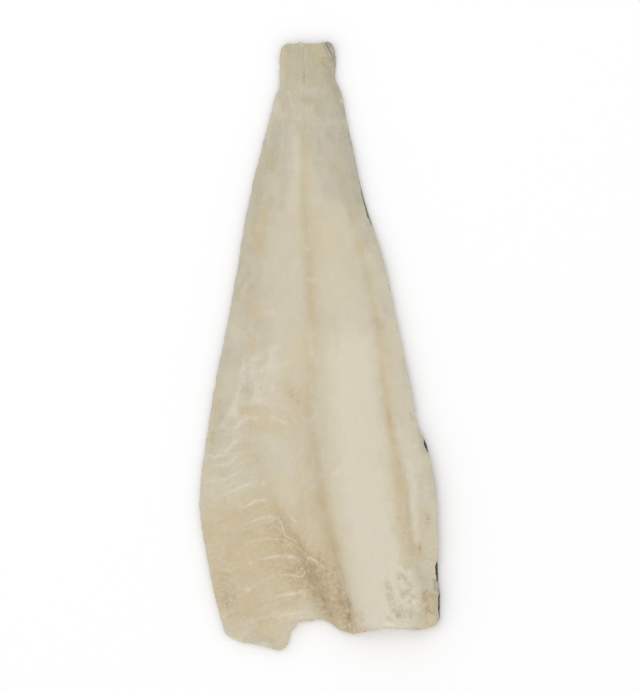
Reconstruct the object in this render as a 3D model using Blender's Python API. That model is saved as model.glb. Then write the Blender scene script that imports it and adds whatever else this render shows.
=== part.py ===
"""A side of salt cod, flesh side up: the boned flesh of one half of the fish, lying on its own skin.

Metres, +Z up. The tail points to +Y, the back edge to +X and the belly flap to -X. The origin is
the middle of the bounding box's base, so the skin rests on z = 0.

Shapes are laid out in millimetres by station, which is the distance from the tail's tip towards the
head end, and by x, which is the distance to the right of the middle of the fillet's width. Four
bands of muscle lie side by side, each between two of the five lines named in LINES.
"""

import bmesh
import bpy
import numpy as np

MM = 0.001

# Driving sizes, in millimetres.
LENGTH = 500.0
SKIN_THICKNESS = 1.2
SKIN_GAP = 0.3
RIM_ROUND = 0.9

# Where the outline's two long edges run: {station: x}.
BELLY_EDGE = {
    0: -32, 12: -33, 36: -33.5, 45: -36.8, 60: -40.4, 88: -48, 134: -58.8, 213: -72.5, 292: -88,
    331: -94, 378: -99, 424: -92.8, 470: -83, 486: -77.5, 500: -70,
}
BACK_EDGE = {
    0: 11, 16: 13.5, 29: 12.5, 42: 17.5, 68: 22.7, 88: 27.2, 114: 32.5, 160: 45.8, 187: 54,
    233: 63.4, 292: 76, 315: 79.8, 328: 86.5, 340: 90, 378: 96, 443: 97.5, 456: 99, 500: 98,
}

# The outline's two ends: {x: station}. The tail is squared off with round corners. The head end is
# a rough cut across the loin, with the belly flap left longer beyond a torn notch.
TAIL_END = {-33: 9, -31: 4, -27: 2, -16: 1, -8: 2, 2: 1.5, 6: 0, 10: 2, 13: 8}
HEAD_END = {
    -77.5: 486, -74: 490.5, -62: 496, -41: 500, -28: 497, -25: 489, -21: 481, -14: 477, -6: 476.5,
    -2: 474, 9: 480, 16: 484.5, 25: 487, 46: 483, 70: 484.5, 87: 484.5, 94: 482, 98.5: 475,
}

# The creases between the bands of muscle: {station: x}.
BELLY_CREASE = {
    0: -24, 48: -28.5, 98: -39, 160: -49, 221: -57, 279: -60, 303: -59.5, 328: -55.5,
    361: -45.5, 390: -33, 423: -14.5, 447: -3, 470: 8, 500: 20,
}
BONE_CREASE = {
    0: -12.5, 122: -13, 164: -10.5, 205: -8, 238: -6, 295: -6, 342: -2.5, 378: 2, 414: 11.5,
    451: 22, 480: 26.5, 500: 28,
}
BACK_CREASE = {
    0: 1, 48: 10.5, 90: 17, 136: 24.5, 169: 33.5, 221: 45, 250: 49, 283: 52, 308: 55.5,
    352: 66, 401: 74.5, 460: 86, 500: 89,
}

# How thick the flesh is on each of the five lines, and how far each band of muscle crowns above the
# straight run between its two lines.
THICKNESS_STATIONS = (0, 30, 100, 180, 260, 320, 380, 440, 500)
LINES = {
    "belly edge": (1.5, 2.0, 2.5, 2.8, 3.0, 2.8, 2.5, 2.5, 2.5),
    "belly crease": (3.0, 3.8, 6.0, 8.0, 8.5, 6.5, 5.0, 4.5, 4.5),
    "bone crease": (3.0, 3.6, 6.0, 8.5, 10.5, 10.5, 9.5, 8.0, 7.0),
    "back crease": (3.0, 3.8, 6.0, 8.0, 9.5, 11.0, 12.0, 12.5, 12.0),
    "back edge": (2.0, 2.0, 2.5, 3.0, 3.5, 4.0, 4.5, 5.0, 5.0),
}
CROWNS = {
    "belly flap": (0.5, 0.6, 0.8, 1.0, 1.2, 1.2, 1.5, 1.5, 1.5),
    "side muscle": (0.5, 0.8, 1.8, 3.5, 5.0, 6.0, 5.5, 5.0, 4.0),
    "loin": (0.6, 1.0, 2.2, 4.5, 8.0, 10.5, 12.5, 14.0, 14.5),
    "back strip": (0.3, 0.4, 0.8, 1.5, 2.5, 3.0, 3.5, 3.5, 3.5),
}
CROWN_FLATNESS = 2.4
LEAST_BACK_STRIP = 2.0

# How many columns of faces cross each band of muscle, in the flesh and in the skin.
BAND_COLUMNS = (14, 6, 8, 5)
SKIN_BAND_COLUMNS = (14, 2, 3, 5)

# The skin shows past the flesh along the back edge: {station: how far the flesh stops short of it}.
BACK_MARGIN = {
    0: 8, 12: 4, 24: 1.5, 60: 1, 128: 1, 140: 4, 152: 3, 162: 1, 318: 1, 326: 3, 336: 3, 346: 1,
    428: 1, 440: 3, 462: 3, 474: 1, 500: 1,
}
NO_MARGIN = {0: 0.0, LENGTH: 0.0}
OTHER_MARGIN = 0.5

# The skin lies flat in the middle and lifts towards its edges.
BACK_LIFT = {0: 1.5, 100: 2.5, 250: 4, 400: 6, 500: 6}
BACK_LIFT_REACH = 14.0
BELLY_LIFT = 1.2
BELLY_LIFT_REACH = 10.0
TAIL_LIFT = 2.0
TAIL_LIFT_REACH = 40.0
CURL_LIFT = 6.0
CURL_REACH = 16.0
CURL_CORNER = (13.0, 0.0)

# Rows across the fillet are closer together at the tail, at the head end and where skin shows.
ROW_STATIONS = (
    *np.linspace(0, 32, 7, endpoint=False),
    *np.linspace(32, 128, 8, endpoint=False),
    *np.linspace(128, 170, 6, endpoint=False),
    *np.linspace(170, 316, 10, endpoint=False),
    *np.linspace(316, 348, 5, endpoint=False),
    *np.linspace(348, 430, 6, endpoint=False),
    *np.linspace(430, LENGTH, 8),
)
TAIL_BLEND = 30.0
HEAD_BLEND = 70.0
END_STEPS = 16

# Faces that meet at less than the first angle are merged, and edges sharper than the second stay crisp.
FLAT_ANGLE = np.radians(0.2)
CRISP_ANGLE = np.radians(50)

SKIN_COLOUR = (0.20, 0.19, 0.16)
SKIN_ROUGHNESS = 0.55
FLESH_COLOUR = (0.60, 0.53, 0.40)
FLESH_ROUGHNESS = 0.6


def smooth_curve(points, at):
    """The values at these places of a smooth curve through {place: value} that doesn't overshoot."""
    places = np.array(sorted(points), float)
    values = np.array([points[place] for place in sorted(points)], float)
    steps = np.diff(places)
    slopes = np.diff(values) / steps
    before, after = slopes[:-1], slopes[1:]
    same_way = before * after > 0
    safe = np.where(same_way, before + after, 1.0)
    inner = np.where(same_way, 2.0 * before * after / safe, 0.0)
    tangents = np.concatenate([slopes[:1], inner, slopes[-1:]])
    at = np.clip(np.asarray(at, float), places[0], places[-1])
    i = np.clip(np.searchsorted(places, at, side="right") - 1, 0, len(steps) - 1)
    u = (at - places[i]) / steps[i]
    rise = steps[i] * (u * (1 - u) ** 2 * tangents[i] - u**2 * (1 - u) * tangents[i + 1])
    return values[i] * (1 + 2 * u) * (1 - u) ** 2 + values[i + 1] * u**2 * (3 - 2 * u) + rise


def by_station(values, station):
    """One row of LINES or CROWNS, read at these stations."""
    return smooth_curve(dict(zip(THICKNESS_STATIONS, values)), station)


def near(distance, reach):
    """1 at no distance, falling smoothly to 0 at reach."""
    return np.clip(1 - distance / reach, 0, 1) ** 2


def line_places(station, back_margin, other_margin):
    """The x of the five lines at these stations, stacked along a new last axis."""
    belly_edge = smooth_curve(BELLY_EDGE, station) + other_margin
    back_edge = smooth_curve(BACK_EDGE, station) - back_margin
    creases = [smooth_curve(c, station) for c in (BELLY_CREASE, BONE_CREASE, BACK_CREASE)]
    creases[2] = np.minimum(creases[2], back_edge - LEAST_BACK_STRIP)
    return np.stack([belly_edge, *creases, back_edge], axis=-1)


def between_lines(on_lines, columns):
    """Each column's value, read between the lines, with the band it is in and how far across it lies.

    The last two axes of on_lines are the columns and the five lines.
    """
    band = np.append(np.repeat(np.arange(len(columns)), columns), len(columns) - 1)
    share = np.append(np.concatenate([np.arange(count) / count for count in columns]), 1.0)
    column = np.arange(len(band))
    start, end = on_lines[..., column, band], on_lines[..., column, band + 1]
    return start + (end - start) * share, band, share


def column_x(station, columns, back_margin, inset):
    """The x of each column of a sheet, where station's last axis has one value for each column."""
    lines = line_places(station, smooth_curve(back_margin, station) + inset, inset)
    return between_lines(lines, columns)[0]


def end_stations(end, start, columns):
    """The station where each column meets an end of the outline, found by stepping towards it."""
    station = np.full(sum(columns) + 1, start)
    for _ in range(END_STEPS):
        x = column_x(station, columns, NO_MARGIN, 0.0)
        station = (station + smooth_curve(end, x)) / 2
    return station


def plan(columns, back_margin, inset):
    """The x and station of each point of a sheet that fills the outline, less these margins."""
    rows = np.array(ROW_STATIONS)[:, None]
    tail = end_stations(TAIL_END, 0.0, columns) + inset
    head = end_stations(HEAD_END, LENGTH, columns) - inset
    tail_share = np.clip(1 - rows / TAIL_BLEND, 0, 1)
    head_share = np.clip(1 - (LENGTH - rows) / HEAD_BLEND, 0, 1)
    station = rows + tail_share * tail + head_share * (head - LENGTH)
    return column_x(station, columns, back_margin, inset), station


def underside(x, station):
    """How high the skin's lower face is above the ground."""
    from_back = smooth_curve(BACK_EDGE, station) - x
    from_belly = x - smooth_curve(BELLY_EDGE, station)
    from_corner = np.hypot(x - CURL_CORNER[0], station - CURL_CORNER[1])
    return (
        smooth_curve(BACK_LIFT, station) * near(from_back, BACK_LIFT_REACH)
        + BELLY_LIFT * near(from_belly, BELLY_LIFT_REACH)
        + TAIL_LIFT * near(station, TAIL_LIFT_REACH)
        + CURL_LIFT * near(from_corner, CURL_REACH)
    )


def flesh_thickness(station, columns):
    """How thick the flesh is at each point of a sheet with these columns."""
    lines = np.stack([by_station(v, station) for v in LINES.values()], axis=-1)
    crowns = np.stack([by_station(v, station) for v in CROWNS.values()], axis=-1)
    run, band, share = between_lines(lines, columns)
    crown = crowns[:, np.arange(len(band)), band]
    return run + crown * (1 - abs(2 * share - 1) ** CROWN_FLATNESS)


def ring_of(grid):
    """The points round a grid's edge, in order."""
    return np.concatenate([grid[0], grid[1:-1, -1], grid[-1, ::-1], grid[-2:0:-1, 0]])


def pushed_out(ring, distance):
    """A closed ring of (x, y) points moved outwards by distance."""
    along = np.roll(ring, -1, axis=0) - np.roll(ring, 1, axis=0)
    outward = np.stack([-along[:, 1], along[:, 0]], axis=1)
    outward /= np.linalg.norm(outward, axis=1, keepdims=True)
    return ring + distance * outward


def closed_sheet(x, station, low, high, rim_round):
    """A bmesh of the solid between the heights low and high over a sheet, with a rounded rim."""
    solid = bmesh.new()
    y = LENGTH / 2 - station
    index = np.arange(x.size).reshape(x.shape)
    edge = ring_of(index)
    faces = []
    layers = []
    for height in (high, low):
        places = np.stack([x, y, height], axis=-1).reshape(-1, 3) * MM
        layers.append([solid.verts.new(place) for place in places])
    for row in range(x.shape[0] - 1):
        for column in range(x.shape[1] - 1):
            a, b = index[row, column], index[row, column + 1]
            c, d = index[row + 1, column + 1], index[row + 1, column]
            faces.append([layers[0][i] for i in (a, d, c, b)])
            faces.append([layers[1][i] for i in (a, b, c, d)])
    rings = [[layers[0][i] for i in edge], [layers[1][i] for i in edge]]
    if rim_round:
        plan_ring = pushed_out(np.stack([ring_of(x), ring_of(y)], axis=1), rim_round)
        middle = (ring_of(low) + ring_of(high)) / 2
        rim = np.column_stack([plan_ring, middle]) * MM
        rings.insert(1, [solid.verts.new(place) for place in rim])
    for upper, lower in zip(rings, rings[1:]):
        for i in range(len(edge)):
            j = (i + 1) % len(edge)
            faces.append([upper[i], upper[j], lower[j], lower[i]])
    for corners in faces:
        solid.faces.new(corners)
    return solid


def finished(name, solid, material):
    """Turns a bmesh into the named object, with its flat faces merged and its curves shaded smooth."""
    bmesh.ops.recalc_face_normals(solid, faces=solid.faces)
    bmesh.ops.dissolve_limit(solid, angle_limit=FLAT_ANGLE, verts=solid.verts, edges=solid.edges)
    bmesh.ops.triangulate(solid, faces=solid.faces)
    mesh = bpy.data.meshes.new(name)
    solid.to_mesh(mesh)
    solid.free()
    mesh.materials.append(material)
    mesh.shade_smooth()
    mesh.set_sharp_from_angle(angle=CRISP_ANGLE)
    made = bpy.data.objects.new(name, mesh)
    bpy.context.scene.collection.objects.link(made)
    return made


def matt(name, colour, roughness):
    """A Principled material of one colour."""
    material = bpy.data.materials.new(name)
    material.use_nodes = True
    shader = material.node_tree.nodes["Principled BSDF"]
    shader.inputs["Base Color"].default_value = (*colour, 1.0)
    shader.inputs["Roughness"].default_value = roughness
    shader.inputs["Metallic"].default_value = 0.0
    return material


def make_skin():
    """The skin under the whole fillet, wider than the flesh along the back edge."""
    x, station = plan(SKIN_BAND_COLUMNS, NO_MARGIN, 0.0)
    low = underside(x, station)
    solid = closed_sheet(x, station, low, low + SKIN_THICKNESS, 0.0)
    return finished("skin", solid, matt("skin", SKIN_COLOUR, SKIN_ROUGHNESS))


def make_flesh():
    """The flesh: belly flap, side muscle, loin and back strip in one piece."""
    x, station = plan(BAND_COLUMNS, BACK_MARGIN, OTHER_MARGIN + RIM_ROUND)
    low = underside(x, station) + SKIN_THICKNESS + SKIN_GAP
    high = low + flesh_thickness(station, BAND_COLUMNS)
    solid = closed_sheet(x, station, low, high, RIM_ROUND)
    return finished("flesh", solid, matt("flesh", FLESH_COLOUR, FLESH_ROUGHNESS))


def main():
    """Clears the scene and builds the fillet."""
    for old in list(bpy.data.objects):
        bpy.data.objects.remove(old, do_unlink=True)
    make_skin()
    make_flesh()


main()
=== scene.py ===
"""Dresses a side of salt cod, flesh side up on its own skin, with its membranes and torn flakes.

Metres, +Z up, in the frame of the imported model: the tail points to +Y, the back edge to +X and the
belly flap to -X. Shapes are laid out in millimetres by station, which is the distance from the
tail's tip towards the head end, and by x, the distance to the right of the middle of the width.
"""

from __future__ import annotations

import logging
import math
from dataclasses import dataclass, field
from enum import Enum
from typing import Any, ClassVar, Mapping, Sequence

import bpy
import numpy as np
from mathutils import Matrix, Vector
from mathutils.bvhtree import BVHTree


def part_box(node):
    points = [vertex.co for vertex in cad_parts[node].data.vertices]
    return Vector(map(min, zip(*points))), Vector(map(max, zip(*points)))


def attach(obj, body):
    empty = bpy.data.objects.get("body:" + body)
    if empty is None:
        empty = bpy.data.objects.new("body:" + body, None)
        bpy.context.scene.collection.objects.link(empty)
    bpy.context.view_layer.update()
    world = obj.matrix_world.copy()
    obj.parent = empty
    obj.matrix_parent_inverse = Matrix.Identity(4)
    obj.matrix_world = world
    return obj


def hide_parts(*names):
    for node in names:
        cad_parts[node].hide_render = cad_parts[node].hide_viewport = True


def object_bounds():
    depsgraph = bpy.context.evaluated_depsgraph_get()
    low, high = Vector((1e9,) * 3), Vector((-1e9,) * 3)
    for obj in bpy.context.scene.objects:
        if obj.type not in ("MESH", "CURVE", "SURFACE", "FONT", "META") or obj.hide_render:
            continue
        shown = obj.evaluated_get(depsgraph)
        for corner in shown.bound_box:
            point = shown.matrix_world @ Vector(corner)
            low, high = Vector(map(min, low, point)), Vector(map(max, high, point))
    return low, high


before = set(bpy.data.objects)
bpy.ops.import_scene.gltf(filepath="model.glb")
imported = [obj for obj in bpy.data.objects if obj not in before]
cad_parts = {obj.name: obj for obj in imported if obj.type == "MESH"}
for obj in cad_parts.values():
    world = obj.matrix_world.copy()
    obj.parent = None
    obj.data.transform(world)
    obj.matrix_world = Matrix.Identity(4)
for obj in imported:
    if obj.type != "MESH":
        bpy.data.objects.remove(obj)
CAD_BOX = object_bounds()

LOG = logging.getLogger("salt_cod_side")
Array = np.ndarray
Point = tuple[float, float]
Triple = tuple[float, float, float]
Colour = tuple[int, int, int]

NOMINAL_LENGTH = 500.0
SKIN_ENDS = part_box("skin")
# One millimetre of the laid-out shapes, in metres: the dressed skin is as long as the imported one.
MM = (SKIN_ENDS[1].y - SKIN_ENDS[0].y) / NOMINAL_LENGTH
BODY = "root"
TINY = 1e-9


class Slot(Enum):
    """The record's material slots."""

    FLESH = "flesh"
    SKIN = "skin"


class Tint(Enum):
    """The stains and pale layers that colour the flesh, each kept as a mask on its surface. Three masks
    also hold painted light and shade: the slate mask a painted shadow at the tail's curl, the olive mask
    painted shade in the torn hollows, and the chalky mask painted light on the loin's left slope.
    """

    GLASSY = "glassy"
    OLIVE_AND_SHADE = "olive"
    # Besides olive stains, this mask holds painted shade in the hollows of the torn lumps.
    CREAMY = "creamy"
    OILY = "oily"
    # Besides chalky layers, this mask holds painted light on the loin's left slope.
    CHALKY_AND_LIGHT = "chalky"
    RUSTY = "rusty"
    # Besides the dark slate colour, this mask holds a painted shadow at the tail's curl.
    SLATE_AND_SHADOW = "slate"
    VEIL = "veil"
    THREAD = "thread"
    FILM = "film"


class Zone(Enum):
    """Where the flesh's fine texture changes, each kept as a mask on its surface."""

    GRITTY = "gritty"
    RIBBED = "ribbed"
    WRINKLED = "wrinkled"
    CUT = "cut"


class SkinZone(Enum):
    """Where the skin's colour changes, each kept as a mask on its surface."""

    BELLY = "belly"
    LATERAL = "lateral"
    RIM = "rim"
    INSIDE = "inside"


# ---------------------------------------------------------------- curves, noise and soft marks


@dataclass(frozen=True)
class Curve:
    """A smooth curve through points of place and value, which doesn't overshoot between them."""

    points: Mapping[float, float]

    def at(self, place: Array | float) -> Array:
        """Reads the curve.

        Args:
            place: Where to read it. Beyond its ends the curve keeps its end value.

        Returns:
            The value at each place.
        """
        places = np.array(sorted(self.points), float)
        values = np.array([self.points[p] for p in sorted(self.points)], float)
        steps = np.diff(places)
        slopes = np.diff(values) / steps
        before, after = slopes[:-1], slopes[1:]
        same_way = before * after > 0
        safe = np.where(same_way, before + after, 1.0)
        inner = np.where(same_way, 2.0 * before * after / safe, 0.0)
        tangents = np.concatenate([slopes[:1], inner, slopes[-1:]])
        at = np.clip(np.asarray(place, float), places[0], places[-1])
        i = np.clip(np.searchsorted(places, at, side="right") - 1, 0, len(steps) - 1)
        u = (at - places[i]) / steps[i]
        rise = steps[i] * (u * (1 - u) ** 2 * tangents[i] - u**2 * (1 - u) * tangents[i + 1])
        return values[i] * (1 + 2 * u) * (1 - u) ** 2 + values[i + 1] * u**2 * (3 - 2 * u) + rise


def smooth_step(value: Array, start: float, end: float) -> Array:
    """Rises smoothly from 0 at start to 1 at end, or falls where end is below start."""
    share = np.clip((value - start) / (end - start), 0, 1)
    return share * share * (3 - 2 * share)


class Grain:
    """Smooth seeded noise over a plane, between -1 and 1."""

    CELLS: ClassVar[int] = 256
    LAYER_SHIFT: ClassVar[Point] = (17.3, -9.1)

    def __init__(self, seed: int) -> None:
        """Draws the lattice of random values from a seed."""
        self.lattice = np.random.default_rng(seed).uniform(-1, 1, (self.CELLS, self.CELLS))

    def at(self, u: Array, v: Array) -> Array:
        """Reads the noise.

        Args:
            u: The first coordinate, in cells.
            v: The second coordinate, in cells.

        Returns:
            The noise at each point.
        """
        u, v = np.broadcast_arrays(np.asarray(u, float), np.asarray(v, float))
        i, j = np.floor(u).astype(int), np.floor(v).astype(int)
        s, t = u - i, v - j
        # The shares ease in and out, so that the noise has no kinks where cells meet.
        s, t = s * s * s * (s * (6 * s - 15) + 10), t * t * t * (t * (6 * t - 15) + 10)
        i0, j0 = i % self.CELLS, j % self.CELLS
        i1, j1 = (i + 1) % self.CELLS, (j + 1) % self.CELLS
        near = self.lattice[i0, j0] * (1 - t) + self.lattice[i0, j1] * t
        far = self.lattice[i1, j0] * (1 - t) + self.lattice[i1, j1] * t
        return near * (1 - s) + far * s

    def layered(self, u: Array, v: Array, layers: int = 3) -> Array:
        """Adds finer and fainter layers of the noise.

        Args:
            u: The first coordinate, in cells of the coarsest layer.
            v: The second coordinate, in cells of the coarsest layer.
            layers: How many layers there are, each twice as fine and half as strong.

        Returns:
            The sum, scaled to stay about between -1 and 1.
        """
        du, dv = self.LAYER_SHIFT
        total = sum(self.at(u * 2**n + du * n, v * 2**n + dv * n) / 2**n for n in range(layers))
        return total / (2 - 2.0 ** (1 - layers))


@dataclass(frozen=True)
class Lumps:
    """Layered noise over the fillet, with the length of its lumps across and along it."""

    seed: int
    across: float
    along: float
    strength: float = 1.0
    layers: int = 3
    shift: float = 0.0

    def at(self, x: Array, station: Array) -> Array:
        """Reads the noise, which is about between -strength and strength."""
        u, v = x / self.across + self.shift, station / self.along
        return self.strength * Grain(self.seed).layered(u, v, self.layers)


@dataclass(frozen=True)
class Stroke:
    """A soft mark along a route of x and station points, in millimetres."""

    route: tuple[Point, ...]
    width: float
    strength: float = 1.0
    core: float = 0.0
    end_width: float | None = None

    def at(self, x: Array, station: Array) -> Array:
        """Reads the mark.

        Args:
            x: Where to read it.
            station: Where to read it.

        Returns:
            Its strength at each point: whole over its core, then falling off over its width.
        """
        route = self.route if len(self.route) > 1 else self.route * 2
        last = self.width if self.end_width is None else self.end_width
        widths = np.linspace(self.width, last, len(route))
        best = np.full(np.shape(x), np.inf)
        for i, ((ax, ay), (bx, by)) in enumerate(zip(route, route[1:])):
            dx, dy = bx - ax, by - ay
            t = np.clip(((x - ax) * dx + (station - ay) * dy) / max(dx * dx + dy * dy, TINY), 0, 1)
            width = widths[i] * (1 - t) + widths[i + 1] * t
            away = np.hypot(x - ax - t * dx, station - ay - t * dy) / width
            best = np.minimum(best, away)
        beyond = np.maximum(best - self.core, 0) / (1 - self.core)
        return self.strength * np.exp(-(beyond**2))


def marks(*rows: tuple[Any, ...]) -> tuple[Stroke, ...]:
    """The marks whose routes, widths, strengths, cores and end widths these rows give."""
    return tuple(Stroke(*row) for row in rows)


def joined(strokes: Sequence[Stroke], x: Array, station: Array) -> Array:
    """Reads several marks that lie over one another.

    Args:
        strokes: The marks.
        x: Where to read them.
        station: Where to read them.

    Returns:
        Their joint strength at each point, from 0 to 1.
    """
    left = np.ones(np.shape(x))
    for stroke in strokes:
        left = left * (1 - np.clip(stroke.at(x, station), 0, 1))
    return 1 - left


# ------------------------------------------------------------------------- the fillet's form


STATIONS = (0, 30, 100, 180, 260, 320, 380, 440, 500)


def at_stations(*values: float) -> Curve:
    """A curve with one value at each of STATIONS."""
    return Curve(dict(zip(STATIONS, values)))


class Crease(Enum):
    """The creases that the fine relief follows, by their place among the form's five lines."""

    BELLY = 1
    BONE = 2


@dataclass(frozen=True)
class Form:
    """Where the outline, the creases and the surfaces of the fillet run, in millimetres."""

    length: float = NOMINAL_LENGTH
    skin_thickness: float = 1.2
    skin_gap: float = 0.3
    flesh_bed: float = 0.02
    belly_edge: Curve = Curve({
        0: -32, 12: -33, 36: -33.5, 45: -36.8, 60: -40.4, 88: -48, 134: -58.8, 213: -72.5,
        292: -88, 331: -94, 378: -99, 424: -92.8, 464: -84.3, 479: -80.2, 487: -77.4, 500: -70,
    })
    back_edge: Curve = Curve({
        0: 11, 16: 13.5, 29: 12.5, 42: 17.5, 68: 22.7, 88: 27.2, 114: 32.5, 160: 45.8, 187: 54,
        233: 63.4, 292: 76, 315: 79.8, 328: 86.5, 340: 90, 378: 96, 443: 97.5, 456: 99, 500: 98,
    })
    tail_end: Curve = Curve({
        -33: 9, -31: 4, -27: 2, -18: 1.4, -16: 0.4, -14: 1.4, -8: 2, 2: 1.5, 6: 0, 10: 2, 13: 8,
    })
    head_end: Curve = Curve({
        -77.4: 486.6, -75.2: 488.6, -64: 493.6, -53: 496, -40: 499, -31.7: 499.7, -27.6: 496.8,
        -25.8: 492, -25: 487, -20: 480.3, -17.6: 476.6, -10: 476.3, -6: 476.5, -3: 474.6, 6: 476.6,
        12.7: 480.6, 18.5: 484.6, 27: 486.2, 36.6: 485, 46: 482.7, 55: 481.9, 66: 482.6, 81: 483,
        91: 481.5, 96: 479.2, 98.5: 475,
    })
    belly_crease: Curve = Curve({
        0: -24, 48: -28.5, 98: -39, 160: -49, 221: -57, 279: -60, 303: -59.5, 328: -55.5,
        361: -45.5, 390: -33, 423: -14.5, 447: -3, 470: 8, 500: 20,
    })
    bone_crease: Curve = Curve({
        0: -12.5, 122: -13, 164: -10.5, 205: -8, 238: -6, 295: -6, 342: -2.5, 378: 2,
        414: 11.5, 451: 22, 480: 26.5, 500: 28,
    })
    back_crease: Curve = Curve({
        0: 1, 48: 10.5, 90: 17, 136: 24.5, 169: 33.5, 221: 45, 250: 49, 283: 52, 308: 55.5,
        352: 66, 401: 74.5, 460: 86, 500: 89,
    })
    back_margin: Curve = Curve({
        0: 7, 5: 6, 12: 3.6, 20: 1.4, 28: 0.6, 60: 0.5, 108: 0.4, 118: 0.7, 128: 1.5, 138: 1.9,
        148: 1.5, 157: 0.5, 162: 0, 324: 0, 328: 1.1, 332: 1.9, 336: 1.4, 339: 0.2, 341: 0, 424: 0,
        428: 1.4, 436: 2.2, 442: 1.8, 446: 1.0, 452: 0.8, 458: 1.7, 468: 1.6, 474: 1.0, 480: 0.5, 500: 0,
    })
    back_lift: Curve = Curve({0: 1.5, 100: 2.5, 250: 4, 400: 6, 500: 6})
    line_heights: tuple[Curve, ...] = (
        at_stations(1.5, 2.0, 2.5, 2.8, 3.0, 2.8, 2.5, 2.5, 2.5),
        at_stations(3.0, 3.8, 6.0, 8.0, 8.5, 6.5, 5.0, 4.5, 4.5),
        at_stations(3.0, 3.6, 6.0, 8.5, 10.5, 10.5, 9.5, 8.0, 7.0),
        at_stations(3.0, 3.8, 6.0, 8.0, 9.5, 11.0, 12.0, 12.5, 12.0),
        at_stations(2.0, 2.0, 2.5, 3.0, 3.5, 4.0, 4.5, 5.0, 5.0),
    )
    crowns: tuple[Curve, ...] = (
        at_stations(0.5, 0.6, 0.8, 1.0, 1.2, 1.2, 1.5, 1.5, 1.5),
        at_stations(0.5, 0.8, 1.8, 3.5, 5.0, 6.0, 5.5, 5.0, 4.0),
        at_stations(0.6, 1.0, 2.2, 4.5, 8.0, 10.5, 12.5, 14.0, 14.5),
        at_stations(0.3, 0.4, 0.8, 1.5, 2.5, 3.0, 3.3, 2.4, 2.0),
    )
    crown_flatness: float = 2.4
    least_strip: float = 2.0
    back_reach: float = 14.0
    belly_lift: float = 1.2
    belly_reach: float = 10.0
    tail_lift: float = 2.0
    tail_reach: float = 40.0
    curl_lift: float = 6.0
    curl_reach: float = 16.0
    curl_corner: Point = (13.0, 0.0)
    tail_blend: float = 30.0
    head_blend: float = 70.0
    end_steps: int = 16

    def lines(self, station: Array, back_margin: Array | float, inset: float) -> Array:
        """The x of the two edges and three creases.

        Args:
            station: Where to read them.
            back_margin: How far the sheet stops short of the back edge.
            inset: How far it stops short of the belly edge.

        Returns:
            The five x, from belly to back, along a new last axis.
        """
        belly = self.belly_edge.at(station) + inset
        back = self.back_edge.at(station) - back_margin
        strip = np.minimum(self.back_crease.at(station), back - self.least_strip)
        creases = (self.belly_crease.at(station), self.bone_crease.at(station), strip)
        return np.stack([belly, *creases, back], axis=-1)

    def beyond(self, crease: Crease, x: Array, station: Array) -> Array:
        """How far places lie to the right of a crease."""
        return x - self.lines(station, 0.0, 0.0)[..., crease.value]

    def underside(self, x: Array, station: Array) -> Array:
        """How high the skin's lower face is: flat in the middle, lifting near its edges.

        Args:
            x: Where to read it.
            station: Where to read it.

        Returns:
            The height at each point.
        """

        def near(distance: Array, reach: float) -> Array:
            """1 at no distance, falling smoothly to 0 at reach."""
            return np.clip(1 - distance / reach, 0, 1) ** 2

        from_corner = np.hypot(x - self.curl_corner[0], station - self.curl_corner[1])
        return (
            self.back_lift.at(station) * near(self.back_edge.at(station) - x, self.back_reach)
            + self.belly_lift * near(x - self.belly_edge.at(station), self.belly_reach)
            + self.tail_lift * near(station, self.tail_reach)
            + self.curl_lift * near(from_corner, self.curl_reach)
        )


FORM = Form()
NO_MARGIN = Curve({0: 0.0, FORM.length: 0.0})


class Side(Enum):
    """The fillet's sides, each with the row of the noise that tears it."""

    TAIL = 0.5
    BELLY = 3.5
    HEAD = 8.5
    BACK = 40.5


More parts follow.
